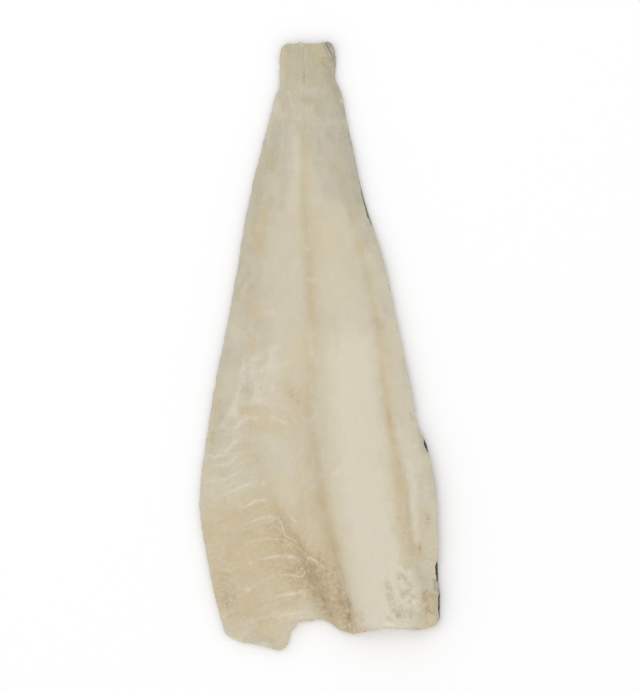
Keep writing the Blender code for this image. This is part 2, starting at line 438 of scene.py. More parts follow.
@dataclass
class Plan:
    """A grid of points over the fillet, closer together towards the head end."""

    columns: tuple[int, int, int, int]
    rows: int
    back_margin: Curve
    inset: float
    seed: int
    raggedness: float
    crowding: float = 0.35
    end_lumps: float = 60.0
    tail_tear: float = 0.7
    head_tear: float = 1.6
    tear_length: float = 4.0
    tear_layers: int = 4
    belly_fade: float = 1 / 3
    back_fade: float = 1 / 2
    x: Array = field(init=False)
    station: Array = field(init=False)
    band: Array = field(init=False)
    share: Array = field(init=False)

    def __post_init__(self) -> None:
        """Works out the grid."""
        counts = self.columns
        last_band = len(counts) - 1
        self.band = np.append(np.repeat(np.arange(len(counts)), counts), last_band)
        self.share = np.append(np.concatenate([np.arange(n) / n for n in counts]), 1.0)
        grain = Grain(self.seed)
        along = np.linspace(0, 1, self.rows)[:, None]
        rows = FORM.length * (along + self.crowding * along * (1 - along))
        across = np.linspace(0, self.end_lumps, len(self.band))
        tail = self._end(FORM.tail_end, 0.0) + self.inset
        tail += self.raggedness * self.tail_tear * grain.layered(across, Side.TAIL.value)
        head = self._end(FORM.head_end, FORM.length) - self.inset
        head += self.raggedness * self.head_tear * grain.layered(across, Side.HEAD.value)
        tail_share = np.clip(1 - rows / FORM.tail_blend, 0, 1)
        head_share = np.clip(1 - (FORM.length - rows) / FORM.head_blend, 0, 1)
        self.station = rows + tail_share * tail + head_share * (head - FORM.length)
        self.x = self._x(self.station, self.back_margin, self.inset)
        belly = np.clip(1 - self.share / self.belly_fade, 0, 1) * (self.band == 0)
        back = np.clip(1 - (1 - self.share) / self.back_fade, 0, 1) * (self.band == last_band)
        for side, fade in ((Side.BELLY, belly), (Side.BACK, back)):
            torn = grain.layered(self.station / self.tear_length, side.value, self.tear_layers)
            self.x = self.x + self.raggedness * torn * fade

    def _x(self, station: Array, margin: Curve, inset: float) -> Array:
        """The x of each column at these stations, whose last axis is the columns."""
        return self.between(FORM.lines(station, margin.at(station) + inset, inset))

    def _end(self, end: Curve, start: float) -> Array:
        """Finds where each column meets an end of the outline, by stepping towards it.

        Args:
            end: The end's stations, by x.
            start: The station that the steps start from.

        Returns:
            The station of each column.
        """
        station = np.full(len(self.band), start)
        for _ in range(FORM.end_steps):
            station = (station + end.at(self._x(station, NO_MARGIN, 0.0))) / 2
        return station

    def between(self, on_lines: Array) -> Array:
        """Reads a value for each column between the five lines.

        Args:
            on_lines: Values whose last two axes are the columns and the five lines.

        Returns:
            The value at each column.
        """
        column = np.arange(len(self.band))
        start, end = on_lines[..., column, self.band], on_lines[..., column, self.band + 1]
        return start + (end - start) * self.share

    def thickness(self) -> Array:
        """How thick the flesh is.

        Returns:
            The thickness at each point of the grid, before its fine relief.
        """
        lines = np.stack([c.at(self.station) for c in FORM.line_heights], axis=-1)
        crowns = np.stack([c.at(self.station) for c in FORM.crowns], axis=-1)
        crown = crowns[:, np.arange(len(self.band)), self.band]
        return self.between(lines) + crown * (1 - abs(2 * self.share - 1) ** FORM.crown_flatness)


# ------------------------------------------------------------------------- meshes


def ring_of(grid: Array) -> Array:
    """The values round a grid's edge, in order."""
    return np.concatenate([grid[0], grid[1:-1, -1], grid[-1, ::-1], grid[-2:0:-1, 0]])


def outward_of(x: Array, y: Array, reach: int = 2) -> Array:
    """Unit vectors that point out of a closed ring in the plan.

    Args:
        x: The ring's x.
        y: The ring's y.
        reach: How many points away, on either side, the ring's direction is read.

    Returns:
        One vector for each point.
    """
    ahead_x, ahead_y = (np.roll(c, -reach) - np.roll(c, reach) for c in (x, y))
    out = np.stack([-ahead_y, ahead_x], axis=1)
    return out / np.maximum(np.linalg.norm(out, axis=1, keepdims=True), TINY)


def added(name: str, data: bpy.types.ID) -> bpy.types.Object:
    """Adds an object to the scene.

    Args:
        name: The object's name.
        data: Its mesh, light or camera.

    Returns:
        The object.
    """
    made = bpy.data.objects.new(name, data)
    bpy.context.scene.collection.objects.link(made)
    return made


def smooth_object(
    name: str, points: Array, faces: Sequence[Sequence[int]], masks: Mapping[Enum, Array]
) -> bpy.types.Object:
    """Adds an object with a smooth mesh to the scene.

    Args:
        name: The object's name.
        points: The x, y and height of each point, in millimetres.
        faces: The points round each face.
        masks: The values of each mask, one for each point.

    Returns:
        The object.
    """
    mesh = bpy.data.meshes.new(name)
    mesh.from_pydata((points * MM).tolist(), [], faces)
    for mask, values in masks.items():
        layer = mesh.attributes.new(mask.value, "FLOAT", "POINT")
        layer.data.foreach_set("value", values.astype(np.float32))
    mesh.validate()
    mesh.shade_smooth()
    return added(name, mesh)


def faces_between(rings: Array) -> list[list[int]]:
    """The faces between closed rings of points.

    Args:
        rings: The numbers of each ring's points, one ring a row.

    Returns:
        The points round each face.
    """
    here, there = rings[:-1], rings[1:]
    corners = [here, np.roll(here, -1, axis=1), np.roll(there, -1, axis=1), there]
    return np.stack(corners, axis=-1).reshape(-1, 4).tolist()


@dataclass
class ClosedSheet:
    """A solid between two heights over a plan, with a modelled wall round its edge."""

    WALL_SEED: ClassVar[int] = 5
    WALL_SKEW: ClassVar[float] = 0.8
    BULGE_POWER: ClassVar[int] = 3
    FLAKE_LENGTH: ClassVar[float] = 4.6
    FLAKES_DOWN: ClassVar[float] = 0.8
    FLAKE_SLOPE: ClassVar[float] = 0.05
    FLAKE_LAYERS: ClassVar[int] = 4

    plan: Plan
    low: Array
    high: Array
    wall_rings: int
    wall_bulge: float
    coarse: int = 1
    wall_slant: Array | float = 0.0
    wall_roughness: Array | float = 0.0
    masks: Mapping[Enum, Array] = field(default_factory=dict)
    top_masks: Mapping[Enum, Array] = field(default_factory=dict)
    wall_masks: Mapping[Enum, Array] = field(default_factory=dict)

    def build(self, name: str) -> bpy.types.Object:
        """Makes the object.

        Args:
            name: The object's name.

        Returns:
            The object. A top mask is 0 below the wall's first ring, and a wall mask, which has one
            value for each point round the edge, is 0 on the top.
        """
        x, y = self.plan.x, FORM.length / 2 - self.plan.station
        index = np.arange(x.size).reshape(x.shape)
        edge = ring_of(index)
        wall = x.size + np.arange(self.wall_rings * len(edge)).reshape(self.wall_rings, -1)
        under, under_faces = self._underside(index, wall[-1])
        corners = [index[:-1, :-1], index[1:, :-1], index[1:, 1:], index[:-1, 1:]]
        faces = np.stack(corners, axis=-1).reshape(-1, 4).tolist()
        faces += faces_between(np.vstack([edge, wall])) + under_faces
        top, bottom = (np.stack([x, y, z], axis=-1).reshape(-1, 3) for z in (self.high, self.low))
        points = np.concatenate([top, *self._wall(ring_of(x), ring_of(y)), bottom[under]])
        return smooth_object(name, points, faces, self._point_masks(under))

    def _wall(self, x: Array, y: Array) -> list[Array]:
        """The wall between the edges of the two faces.

        Args:
            x: The edge's x.
            y: The edge's y.

        Returns:
            The points of each ring, from the top down.
        """
        top, bottom = ring_of(self.high), ring_of(self.low)
        out = outward_of(x, y)
        grain = Grain(self.plan.seed + self.WALL_SEED)
        run = x + self.WALL_SKEW * y
        rings = []
        for share in np.arange(1, self.wall_rings + 1) / self.wall_rings:
            height = top + (bottom - top) * share
            bulge = self.wall_bulge * math.sqrt(1 - abs(2 * share - 1) ** self.BULGE_POWER)
            down = height * self.FLAKES_DOWN + run * self.FLAKE_SLOPE
            flakes = grain.layered(run / self.FLAKE_LENGTH, down, self.FLAKE_LAYERS)
            push = bulge + self.wall_slant * share + self.wall_roughness * flakes * (share < 1)
            rings.append(np.column_stack([x + out[:, 0] * push, y + out[:, 1] * push, height]))
        return rings

    def _underside(self, index: Array, last_ring: Array) -> tuple[list[int], list[list[int]]]:
        """The lower face, coarser than the upper one inside its edge.

        Args:
            index: The numbers of the upper face's points.
            last_ring: The numbers of the wall's last points, in the order of the edge.

        Returns:
            The upper points that the new ones lie under, and the faces, facing down.
        """
        step = self.coarse
        under = index[step:-1:step, step:-1:step].ravel().tolist()
        below = dict(zip(ring_of(index).tolist(), last_ring.tolist()))
        below.update((point, last_ring[-1] + 1 + n) for n, point in enumerate(under))
        faces = []
        for row in range(0, index.shape[0] - 1, step):
            for column in range(0, index.shape[1] - 1, step):
                cell = ring_of(index[row : row + step + 1, column : column + step + 1])
                faces.append([below[point] for point in cell.tolist() if point in below])
        return under, faces

    def _point_masks(self, under: list[int]) -> dict[Enum, Array]:
        """Spreads the masks over all points.

        Args:
            under: The upper points that those of the lower face lie under.

        Returns:
            The values of each mask, one for each point.
        """
        values = {}
        for mask, grid in self.masks.items():
            rings = [ring_of(grid)] * self.wall_rings
            values[mask] = np.concatenate([grid.ravel(), *rings, grid.ravel()[under]])
        for mask, grid in self.top_masks.items():
            ring = ring_of(grid)
            unseen = (self.wall_rings - 1) * len(ring) + len(under)
            values[mask] = np.concatenate([grid.ravel(), ring, np.zeros(unseen)])
        for mask, ring in self.wall_masks.items():
            above, below = np.zeros(self.plan.x.size), np.full(len(under), ring.min())
            values[mask] = np.concatenate([above, *[ring] * self.wall_rings, below])
        return values


def surface_of(made: bpy.types.Object) -> BVHTree:
    """A tree for reading how high an object's top is."""
    polygons = [tuple(p.vertices) for p in made.data.polygons]
    return BVHTree.FromPolygons([v.co.copy() for v in made.data.vertices], polygons)


def height_on(tree: BVHTree, x: float, station: float, above: float = 1.0) -> float | None:
    """How high a surface is, in millimetres.

    Args:
        tree: The surface.
        x: Where to read it.
        station: Where to read it.
        above: A height above every piece, in metres.

    Returns:
        The height, or None beyond the surface.
    """
    start = Vector((x * MM, (FORM.length / 2 - station) * MM, above))
    place, *_ = tree.ray_cast(start, Vector((0, 0, -1)))
    return None if place is None else place.z / MM


# ------------------------------------------------------------------------- shader nodes


def linear(colour: Colour) -> tuple[float, float, float, float]:
    """A colour for a shader.

    Args:
        colour: Its red, green and blue, from 0 to 255, as on a screen.

    Returns:
        The linear colour, with an alpha of 1.
    """

    def channel(value: int) -> float:
        """One channel of a screen's colour, made linear."""
        share = value / 255
        return share / 12.92 if share <= 0.04045 else ((share + 0.055) / 1.055) ** 2.4

    red, green, blue = colour
    return channel(red), channel(green), channel(blue), 1.0


@dataclass
class Nodes:
    """Adds nodes to a shader tree and joins them."""

    SPACING: ClassVar[float] = 180.0

    tree: bpy.types.NodeTree
    next_x: float = 0.0

    def feed(self, node: Any, inputs: Mapping[Any, Any]) -> None:
        """Sets or links a node's inputs.

        Args:
            node: The node.
            inputs: A value or an output socket for each named or numbered input.
        """
        for name, value in inputs.items():
            if isinstance(value, bpy.types.NodeSocket):
                self.tree.links.new(value, node.inputs[name])
            else:
                node.inputs[name].default_value = value

    def add(self, kind: str, inputs: Mapping[Any, Any] | None = None, **settings: Any) -> Any:
        """Adds a node.

        Args:
            kind: The node's type.
            inputs: A value or an output socket for each named or numbered input.
            settings: The node's own settings.

        Returns:
            The node's outputs.
        """
        node = self.tree.nodes.new(kind)
        node.location = (self.next_x, 0.0)
        self.next_x += self.SPACING
        for name, value in settings.items():
            setattr(node, name, value)
        self.feed(node, inputs or {})
        return node.outputs

    def group(self, tree: bpy.types.NodeTree, **inputs: Any) -> Any:
        """The output of a shared group; an underscore in an input's name stands for a space."""
        named = {name.replace("_", " "): value for name, value in inputs.items()}
        return self.add("ShaderNodeGroup", named, node_tree=tree)[0]

    def mix(self, share: Any, first: Any, second: Any) -> Any:
        """Mixes two colours, each a value or a socket, by the share of the second."""
        return self.add("ShaderNodeMix", {0: share, 6: first, 7: second}, data_type="RGBA")[2]

    def math(self, operation: str, first: Any, second: Any, clamp: bool = False) -> Any:
        """The result of a sum on two numbers or sockets, kept from 0 to 1 if it is clamped."""
        inputs = {0: first, 1: second}
        return self.add("ShaderNodeMath", inputs, operation=operation, use_clamp=clamp)[0]

    def plus(self, first: Any, second: Any, clamp: bool = False) -> Any:
        """The sum of two numbers or sockets."""
        return self.math("ADD", first, second, clamp)

    def minus(self, first: Any, second: Any) -> Any:
        """The first number or socket less the second."""
        return self.math("SUBTRACT", first, second)

    def times(self, first: Any, second: Any, clamp: bool = False) -> Any:
        """The product of two numbers or sockets."""
        return self.math("MULTIPLY", first, second, clamp)

    def ramp(self, value: Any, given: Point = (0.0, 1.0), out: Point = (0.0, 1.0)) -> Any:
        """Spreads a value from one range to another, smoothly and without passing its ends."""
        inputs = dict(zip(("Value", "From Min", "From Max", "To Min", "To Max"), (value, *given, *out)))
        return self.add("ShaderNodeMapRange", inputs, interpolation_type="SMOOTHSTEP")[0]

    def noise(self, place: Any, scale: Any, **inputs: float) -> Any:
        """The outputs of a cloudy noise."""
        return self.add("ShaderNodeTexNoise", {"Vector": place, "Scale": scale, **inputs})

    def mask(self, mask: Enum) -> Any:
        """The socket of a mask that the mesh carries."""
        return self.add("ShaderNodeAttribute", attribute_name=mask.value)["Fac"]

    def place(self, stretch: Triple = (1.0, 1.0, 1.0), turn: float = 0.0, shift: float = 0.0) -> Any:
        """The socket of the place on the object, in metres.

        Args:
            stretch: How much it is stretched along each axis.
            turn: How far it is turned about the vertical, in degrees.
            shift: How far it is moved, so that textures don't repeat one another.

        Returns:
            The place's socket.
        """
        here = self.add("ShaderNodeTexCoord")["Object"]
        inputs = {"Vector": here, "Location": (shift, shift, shift),
                  "Rotation": (0.0, 0.0, math.radians(turn)), "Scale": stretch}
        return self.add("ShaderNodeMapping", inputs)[0]


class SharedGroups:
    """The shader node groups that more than one finish uses, each built once."""

    ORIGIN: ClassVar[Triple] = (0.0, 0.0, 0.0)
    WHITE: ClassVar[tuple[float, ...]] = (1.0, 1.0, 1.0, 1.0)
    GREY: ClassVar[tuple[float, ...]] = (0.5, 0.5, 0.5, 1.0)
    SOCKETS: ClassVar[Mapping[int, str]] = {
        1: "NodeSocketFloat", 3: "NodeSocketVector", 4: "NodeSocketColor",
    }
    PATCH_LEVEL: ClassVar[float] = 0.95
    PATCH_SHARPNESS: ClassVar[float] = 3.0
    FIBRE_BEND: ClassVar[float] = 0.006
    FIBRE_STRETCH: ClassVar[Triple] = (1.0, 0.12, 1.0)
    PIT_EDGE: ClassVar[float] = 0.35
    WORN_ROOM: ClassVar[float] = 1.15
    WORN_SWING: ClassVar[float] = 4.0

    def __init__(self) -> None:
        """Builds the groups."""
        self.mottle = self._mottle()
        self.fibre = self._fibre()
        self.grain = self._grain()
        self.worn = self._worn()

    def _new(
        self, name: str, output: str, inputs: Mapping[str, Any], size: int = 1
    ) -> tuple[Nodes, Any, Any]:
        """Makes an empty group with one output.

        Args:
            name: The group's name.
            output: The output's name.
            inputs: The default value of each named input: a number, a colour or a vector.
            size: How many numbers the output has.

        Returns:
            The group's nodes, the sockets of its inputs, and its output node.
        """
        tree = bpy.data.node_groups.new(name, "ShaderNodeTree")
        for label, value in inputs.items():
            kind = self.SOCKETS[len(value) if isinstance(value, tuple) else 1]
            tree.interface.new_socket(name=label, in_out="INPUT", socket_type=kind).default_value = value
        tree.interface.new_socket(name=output, in_out="OUTPUT", socket_type=self.SOCKETS[size])
        nodes = Nodes(tree)
        given = nodes.add("NodeGroupInput")
        return nodes, given, tree.nodes.new("NodeGroupOutput")

    def _mottle(self) -> bpy.types.NodeTree:
        """Soft uneven patches of a second colour over a first one.

        Returns:
            The group.
        """
        inputs = {"Place": self.ORIGIN, "Colour": self.WHITE, "Patch Colour": self.GREY, "Scale": 100.0,
                  "Amount": 0.5, "Cover": 0.5}
        nodes, given, made = self._new("mottle", "Colour", inputs, 4)
        cloud = nodes.noise(given["Place"], given["Scale"], Detail=5.0, Roughness=0.6, Distortion=0.6)[0]
        over = nodes.minus(cloud, nodes.minus(self.PATCH_LEVEL, given["Cover"]))
        patches = nodes.ramp(nodes.times(over, self.PATCH_SHARPNESS), (-0.5, 0.5))
        share = nodes.times(patches, given["Amount"], clamp=True)
        nodes.feed(made, {"Colour": nodes.mix(share, given["Colour"], given["Patch Colour"])})
        return nodes.tree

    def _fibre(self) -> bpy.types.NodeTree:
        """Fine streaks that run along the fillet, wavy and broken, as muscle fibres do.

        Returns:
            The group.
        """
        nodes, given, made = self._new("fibre", "Streaks", {"Place": self.ORIGIN, "Scale": 900.0})
        bend = nodes.noise(given["Place"], 55.0, Detail=2.0)["Color"]
        inputs = {0: bend, "Scale": self.FIBRE_BEND}
        small = nodes.add("ShaderNodeVectorMath", inputs, operation="SCALE")[0]
        moved = nodes.add("ShaderNodeVectorMath", {0: given["Place"], 1: small})[0]
        along = nodes.add("ShaderNodeMapping", {"Vector": moved, "Scale": self.FIBRE_STRETCH})[0]
        streaks = nodes.noise(along, given["Scale"], Detail=3.0, Roughness=0.55)[0]
        nodes.feed(made, {"Streaks": streaks})
        return nodes.tree

    def _grain(self) -> bpy.types.NodeTree:
        """The tiny pits and lumps of a dried surface, as a height.

        Returns:
            The group.
        """
        inputs = {"Place": self.ORIGIN, "Scale": 1200.0, "Pits": 0.4}
        nodes, given, made = self._new("dry_grain", "Height", inputs)
        lumps = nodes.noise(given["Place"], given["Scale"], Detail=4.0, Roughness=0.62)[0]
        inputs = {"Vector": given["Place"], "Scale": given["Scale"], "Randomness": 1.0}
        cells = nodes.add("ShaderNodeTexVoronoi", inputs)["Distance"]
        pits = nodes.times(nodes.ramp(cells, (0.0, self.PIT_EDGE)), given["Pits"])
        nodes.feed(made, {"Height": nodes.plus(lumps, pits)})
        return nodes.tree

    def _worn(self) -> bpy.types.NodeTree:
        """A mask broken up by fine noise where it is neither whole nor absent.

        Returns:
            The group.
        """
        inputs = {"Place": self.ORIGIN, "Mask": 0.5, "Grit": 2.0, "Scale": 250.0}
        nodes, given, made = self._new("worn_mask", "Share", inputs)
        mask = given["Mask"]
        speck = nodes.noise(given["Place"], given["Scale"], Detail=4.0, Roughness=0.66)[0]
        swing = nodes.times(nodes.times(nodes.minus(speck, 0.5), given["Grit"]), self.WORN_SWING)
        room = nodes.times(mask, nodes.minus(self.WORN_ROOM, mask))
        share = nodes.plus(mask, nodes.times(room, swing), clamp=True)
        nodes.feed(made, {"Share": share})
        return nodes.tree


def new_material(name: str) -> tuple[bpy.types.Material, Nodes, Any]:
    """A material with an unlinked Principled shader.

    Args:
        name: The material's name.

    Returns:
        The material, its nodes and its shader node.
    """
    material = bpy.data.materials.new(name)
    material.use_nodes = True
    return material, Nodes(material.node_tree, 400.0), material.node_tree.nodes["Principled BSDF"]


@dataclass(frozen=True)
class TintLook:
    """How one tint looks: its colour, and how strongly and finely its mask is broken up."""

    colour: Colour
    grit: float
    scale: float


@dataclass(frozen=True)
class FleshFinish:
    """Dried cod flesh: cream muscle with chalky and glassy layers, oily creases and rusty stains, with a
    painted shadow, painted shade and painted light among its tints.
    """

    base: Colour = (204, 196, 176)
    patch: Colour = (200, 190, 167)
    stains: Mapping[Tint, TintLook] = field(default_factory=lambda: {
        Tint.GLASSY: TintLook((183, 177, 159), 0.8, 130.0),
        Tint.OLIVE_AND_SHADE: TintLook((185, 176, 149), 0.9, 160.0),
        Tint.CREAMY: TintLook((206, 196, 168), 0.9, 110.0),
        Tint.OILY: TintLook((199, 182, 147), 0.9, 150.0),
        # The chalky colour also paints light on the loin's left slope beside the crease.
        Tint.CHALKY_AND_LIGHT: TintLook((213, 205, 185), 0.6, 120.0),
        Tint.RUSTY: TintLook((170, 150, 117), 1.8, 300.0),
        # The slate colour also paints a shadow line where the flesh meets the curled skin at the tail.
        Tint.SLATE_AND_SHADOW: TintLook((146, 142, 128), 0.8, 300.0),
        Tint.VEIL: TintLook((218, 209, 190), 0.8, 300.0),
        Tint.THREAD: TintLook((221, 208, 179), 0.9, 500.0),
        Tint.FILM: TintLook((226, 218, 202), 0.8, 500.0),
    })
    lilac: Colour = (205, 196, 182)
    straw: Colour = (200, 189, 159)
    drift: Point = (0.35, 0.75)
    least_specks: float = 0.04
    grit_specks: float = 0.19
    streak_tone: Point = (0.06, 0.2)
    salt: Colour = (228, 222, 208)
    salt_scale: float = 330.0
    salt_rarity: Point = (0.955, 0.975)
    salt_edge: Point = (0.2, 0.1)
    salt_start: Point = (0.3, 1.0)
    salt_strength: float = 0.4
    flake_line: Colour = (186, 176, 152)
    flake_centre: Triple = (0.052, 0.0, 0.004)
    flake_spread: Triple = (1.0, 0.0, 1.5)
    flake_bands: float = 52.0
    flake_width: float = 0.32
    flake_strength: float = 0.62
    dry_roughness: float = 0.66
    wet_roughness: float = 0.5
    subsurface: float = 0.1
    bleed: Triple = (1.0, 0.62, 0.36)
    bleed_depth: float = 0.002
    specular: float = 0.25
    bump_height: float = 0.0001
    streak_height: float = 0.8
    grain_height: Point = (0.35, 1.6)

    def make(self, groups: SharedGroups) -> bpy.types.Material:
        """Builds the material.

        Args:
            groups: The shared node groups.

        Returns:
            The material.
        """
        material, nodes, shader = new_material("dried_flesh")
        place, gritty = nodes.place(), nodes.mask(Zone.GRITTY)
        streak = self._streaks(nodes, groups)
        colour = self._salted(nodes, gritty, self._tinted(nodes, groups, gritty))
        toned = self._toned(nodes, gritty, streak, colour)
        toned = nodes.mix(self._flakes(nodes), toned, linear(self.flake_line))
        grain = nodes.group(groups.grain, Place=place, Scale=900.0, Pits=0.25)
        lumps = nodes.times(grain, nodes.ramp(gritty, out=self.grain_height))
        height = nodes.plus(nodes.times(streak, self.streak_height), lumps)
        bump = {"Strength": 0.5, "Distance": self.bump_height, "Height": height}
        wet = nodes.plus(nodes.mask(Tint.GLASSY), nodes.mask(Tint.OILY), clamp=True)
        nodes.feed(shader, {
            "Base Color": toned,
            "Roughness": nodes.ramp(wet, out=(self.dry_roughness, self.wet_roughness)),
            "Normal": nodes.add("ShaderNodeBump", bump)[0],
            "Specular IOR Level": self.specular,
            "Subsurface Weight": self.subsurface,
            "Subsurface Radius": self.bleed,
            "Subsurface Scale": self.bleed_depth,
        })
        return material

    def _tinted(self, nodes: Nodes, groups: SharedGroups, gritty: Any) -> Any:
        """The muscle's own drifting colour under its stains, pale layers and painted light and shade.

        Args:
            nodes: The material's nodes.
            groups: The shared node groups.
            gritty: The socket of how coarse the surface is.

        Returns:
            The colour's socket.
        """
        place = nodes.place()
        colour = nodes.group(
            groups.mottle, Place=place, Colour=linear(self.base), Patch_Colour=linear(self.patch),
            Scale=60.0, Amount=0.6, Cover=0.45,
        )
        drift = nodes.ramp(gritty, out=self.drift)
        for tone, shift, scale in ((self.lilac, 1.7, 90.0), (self.straw, 4.0, 150.0)):
            colour = nodes.group(
                groups.mottle, Place=nodes.place(shift=shift), Colour=colour, Patch_Colour=linear(tone),
                Scale=scale, Amount=drift, Cover=0.4,
            )
        for tint, stain in self.stains.items():
            share = nodes.group(
                groups.worn, Place=place, Mask=nodes.mask(tint), Grit=stain.grit, Scale=stain.scale,
            )
            colour = nodes.mix(share, colour, linear(stain.colour))
        return colour

    def _salted(self, nodes: Nodes, gritty: Any, colour: Any) -> Any:
        """Puts small crystals of salt on the coarse places.

        Args:
            nodes: The material's nodes.
            gritty: The socket of how coarse the surface is.
            colour: The colour's socket.

        Returns:
            The new colour's socket.
        """
        inputs = {"Vector": nodes.place(shift=0.9), "Scale": self.salt_scale}
        cells = nodes.add("ShaderNodeTexVoronoi", inputs)
        pick = nodes.add("ShaderNodeSeparateColor", {"Color": cells["Color"]})[0]
        within = nodes.ramp(cells["Distance"], self.salt_edge)
        crystal = nodes.times(nodes.ramp(pick, self.salt_rarity), within)
        strength = nodes.ramp(gritty, self.salt_start, (0.0, self.salt_strength))
        return nodes.mix(nodes.times(crystal, strength), colour, linear(self.salt))

    def _streaks(self, nodes: Nodes, groups: SharedGroups) -> Any:
        """The muscle's fibres, which lie along the fillet, but across the ribbed flap.

        Args:
            nodes: The material's nodes.
            groups: The shared node groups.

        Returns:
            The socket of the streaks' strength.
        """
        along = nodes.group(groups.fibre, Place=nodes.place(), Scale=620.0)
        across = nodes.group(groups.fibre, Place=nodes.place(turn=68.0), Scale=520.0)
        return nodes.plus(along, nodes.times(nodes.minus(across, along), nodes.mask(Zone.RIBBED)))

    def _toned(self, nodes: Nodes, gritty: Any, streak: Any, colour: Any) -> Any:
        """Makes a colour lighter and darker by its specks and fibres.

        Args:
            nodes: The material's nodes.
            gritty: The socket of how coarse the surface is.
            streak: The socket of the fibres.
            colour: The colour's socket.

        Returns:
            The new colour's socket.
        """
        speck = nodes.noise(nodes.place(), 480.0, Detail=3.0, Roughness=0.7)[0]
        coarse = nodes.plus(self.least_specks, nodes.times(gritty, self.grit_specks))
        swing = nodes.times(nodes.minus(speck, 0.5), coarse)
        lined = nodes.plus(nodes.mask(Zone.RIBBED), nodes.mask(Zone.WRINKLED), clamp=True)
        comb = nodes.times(nodes.minus(streak, 0.5), nodes.ramp(lined, out=self.streak_tone))
        inputs = {"Color": colour, "Value": nodes.plus(1.0, nodes.plus(swing, comb))}
        return nodes.add("ShaderNodeHueSaturation", inputs)[0]

    def _flakes(self, nodes: Nodes) -> Any:
        """The nested lines between the flakes, which show on the cut end alone.

        Args:
            nodes: The material's nodes.

        Returns:
            The socket of their mask.
        """
        inputs = {0: nodes.add("ShaderNodeTexCoord")["Object"], 1: self.flake_centre}
        from_centre = nodes.add("ShaderNodeVectorMath", inputs, operation="SUBTRACT")[0]
        inputs = {0: from_centre, 1: self.flake_spread}
        flat = nodes.add("ShaderNodeVectorMath", inputs, operation="MULTIPLY")[0]
        inputs = {"Vector": flat, "Scale": self.flake_bands, "Distortion": 2.2, "Detail": 3.0,
                  "Detail Scale": 1.6, "Detail Roughness": 0.6}
        rings = nodes.add("ShaderNodeTexWave", inputs, wave_type="RINGS", rings_direction="SPHERICAL")
        on_cut = nodes.times(nodes.mask(Zone.CUT), self.flake_strength)
        return nodes.times(nodes.ramp(rings[1], (self.flake_width, 0.0)), on_cut)


@dataclass(frozen=True)
class SkinFinish:
    """Dry cod skin: fine scales, mottled grey-olive at the back, pale at the belly."""

    back: Colour = (124, 120, 106)
    spots: Colour = (80, 78, 69)
    belly: Colour = (202, 195, 175)
    line: Colour = (196, 189, 168)
    line_strength: float = 0.85
    inner: Colour = (192, 186, 168)
    inner_spots: Colour = (158, 152, 136)
    scale_tone: Point = (1.0, 0.84)
    roughness: float = 0.48
    specular: float = 0.4
    bump_height: float = 0.00015
    grain_height: float = 0.4
    crease_height: float = 1.4

    def make(self, groups: SharedGroups) -> bpy.types.Material:
        """Builds the material.

        Args:
            groups: The shared node groups.

        Returns:
            The material.
        """
        material, nodes, shader = new_material("dried_skin")
        place = nodes.place()
        inputs = {"Vector": nodes.place((1.0, 0.7, 1.0)), "Scale": 620.0, "Randomness": 0.55}
        scales = nodes.add("ShaderNodeTexVoronoi", inputs, feature="SMOOTH_F1")["Distance"]
        tone = nodes.ramp(scales, (0.25, 0.75), self.scale_tone)
        inputs = {"Color": self._coloured(nodes, groups), "Value": tone}
        colour = nodes.add("ShaderNodeHueSaturation", inputs)[0]
        creases = nodes.group(groups.fibre, Place=place, Scale=240.0)
        grain = nodes.group(groups.grain, Place=place, Scale=1500.0, Pits=0.2)
        fine = nodes.plus(nodes.times(grain, self.grain_height), scales)
        height = nodes.plus(fine, nodes.times(creases, self.crease_height))
        bump = {"Strength": 0.7, "Distance": self.bump_height, "Height": height}
        nodes.feed(shader, {
            "Base Color": colour,
            "Roughness": self.roughness,
            "Normal": nodes.add("ShaderNodeBump", bump)[0],
            "Specular IOR Level": self.specular,
        })
        return material

    def _coloured(self, nodes: Nodes, groups: SharedGroups) -> Any:
        """The colours of the outer face, with the pale inner face where it shows.

        Args:
            nodes: The material's nodes.
            groups: The shared node groups.

        Returns:
            The colour's socket.
        """
        place = nodes.place()

        def mottled(colour: Any, patch: Colour, scale: float, amount: float, cover: float) -> Any:
            """Adds soft patches of a second colour and puts out the colour's socket."""
            return nodes.group(
                groups.mottle, Place=place, Colour=colour, Patch_Colour=linear(patch), Scale=scale,
                Amount=amount, Cover=cover,
            )

        back = mottled(linear(self.back), self.spots, scale=55.0, amount=0.75, cover=0.5)
        back = mottled(back, self.spots, scale=340.0, amount=0.8, cover=0.47)
        back = mottled(back, self.belly, scale=210.0, amount=0.3, cover=0.38)
        belly = mottled(linear(self.belly), self.back, scale=70.0, amount=0.25, cover=0.42)
        belly = mottled(belly, self.back, scale=420.0, amount=0.4, cover=0.4)
        pale = nodes.mask(SkinZone.BELLY)
        share = nodes.group(groups.worn, Place=place, Mask=pale, Grit=2.2, Scale=260.0)
        outer = nodes.mix(share, back, belly)
        line = nodes.times(nodes.mask(SkinZone.LATERAL), self.line_strength)
        outer = nodes.mix(line, outer, linear(self.line))
        inner = mottled(linear(self.inner), self.inner_spots, scale=260.0, amount=0.9, cover=0.42)
        colour = nodes.mix(nodes.mask(SkinZone.INSIDE), outer, inner)
        return nodes.mix(nodes.mask(SkinZone.RIM), colour, linear(self.spots))


# ------------------------------------------------------------------------- the flesh


BONE_LINE: tuple[Point, ...] = (
    (-12.5, 80), (-13, 100), (-13.4, 122), (-10.6, 164), (-8.4, 205), (-6.6, 230), (-7, 252),
)
LOWER_BONE_LINE: tuple[Point, ...] = (
    (-9, 272), (-6, 295), (-4.5, 320), (-3.5, 342), (-2, 365), (2, 390), (8, 412),
)
BACK_GROOVE: tuple[Point, ...] = (
    (51, 275), (55, 305), (60, 328), (64, 350), (68, 372), (68, 396), (70, 408),
)
CREASE_LINE: tuple[Point, ...] = ((6, 400), (12, 415), (18, 436), (23, 455), (27, 480))
BELLY_LINE: tuple[Point, ...] = (
    (-57, 302), (-54, 328), (-46, 358), (-34, 388), (-15, 421), (-4, 445), (8, 470),
)
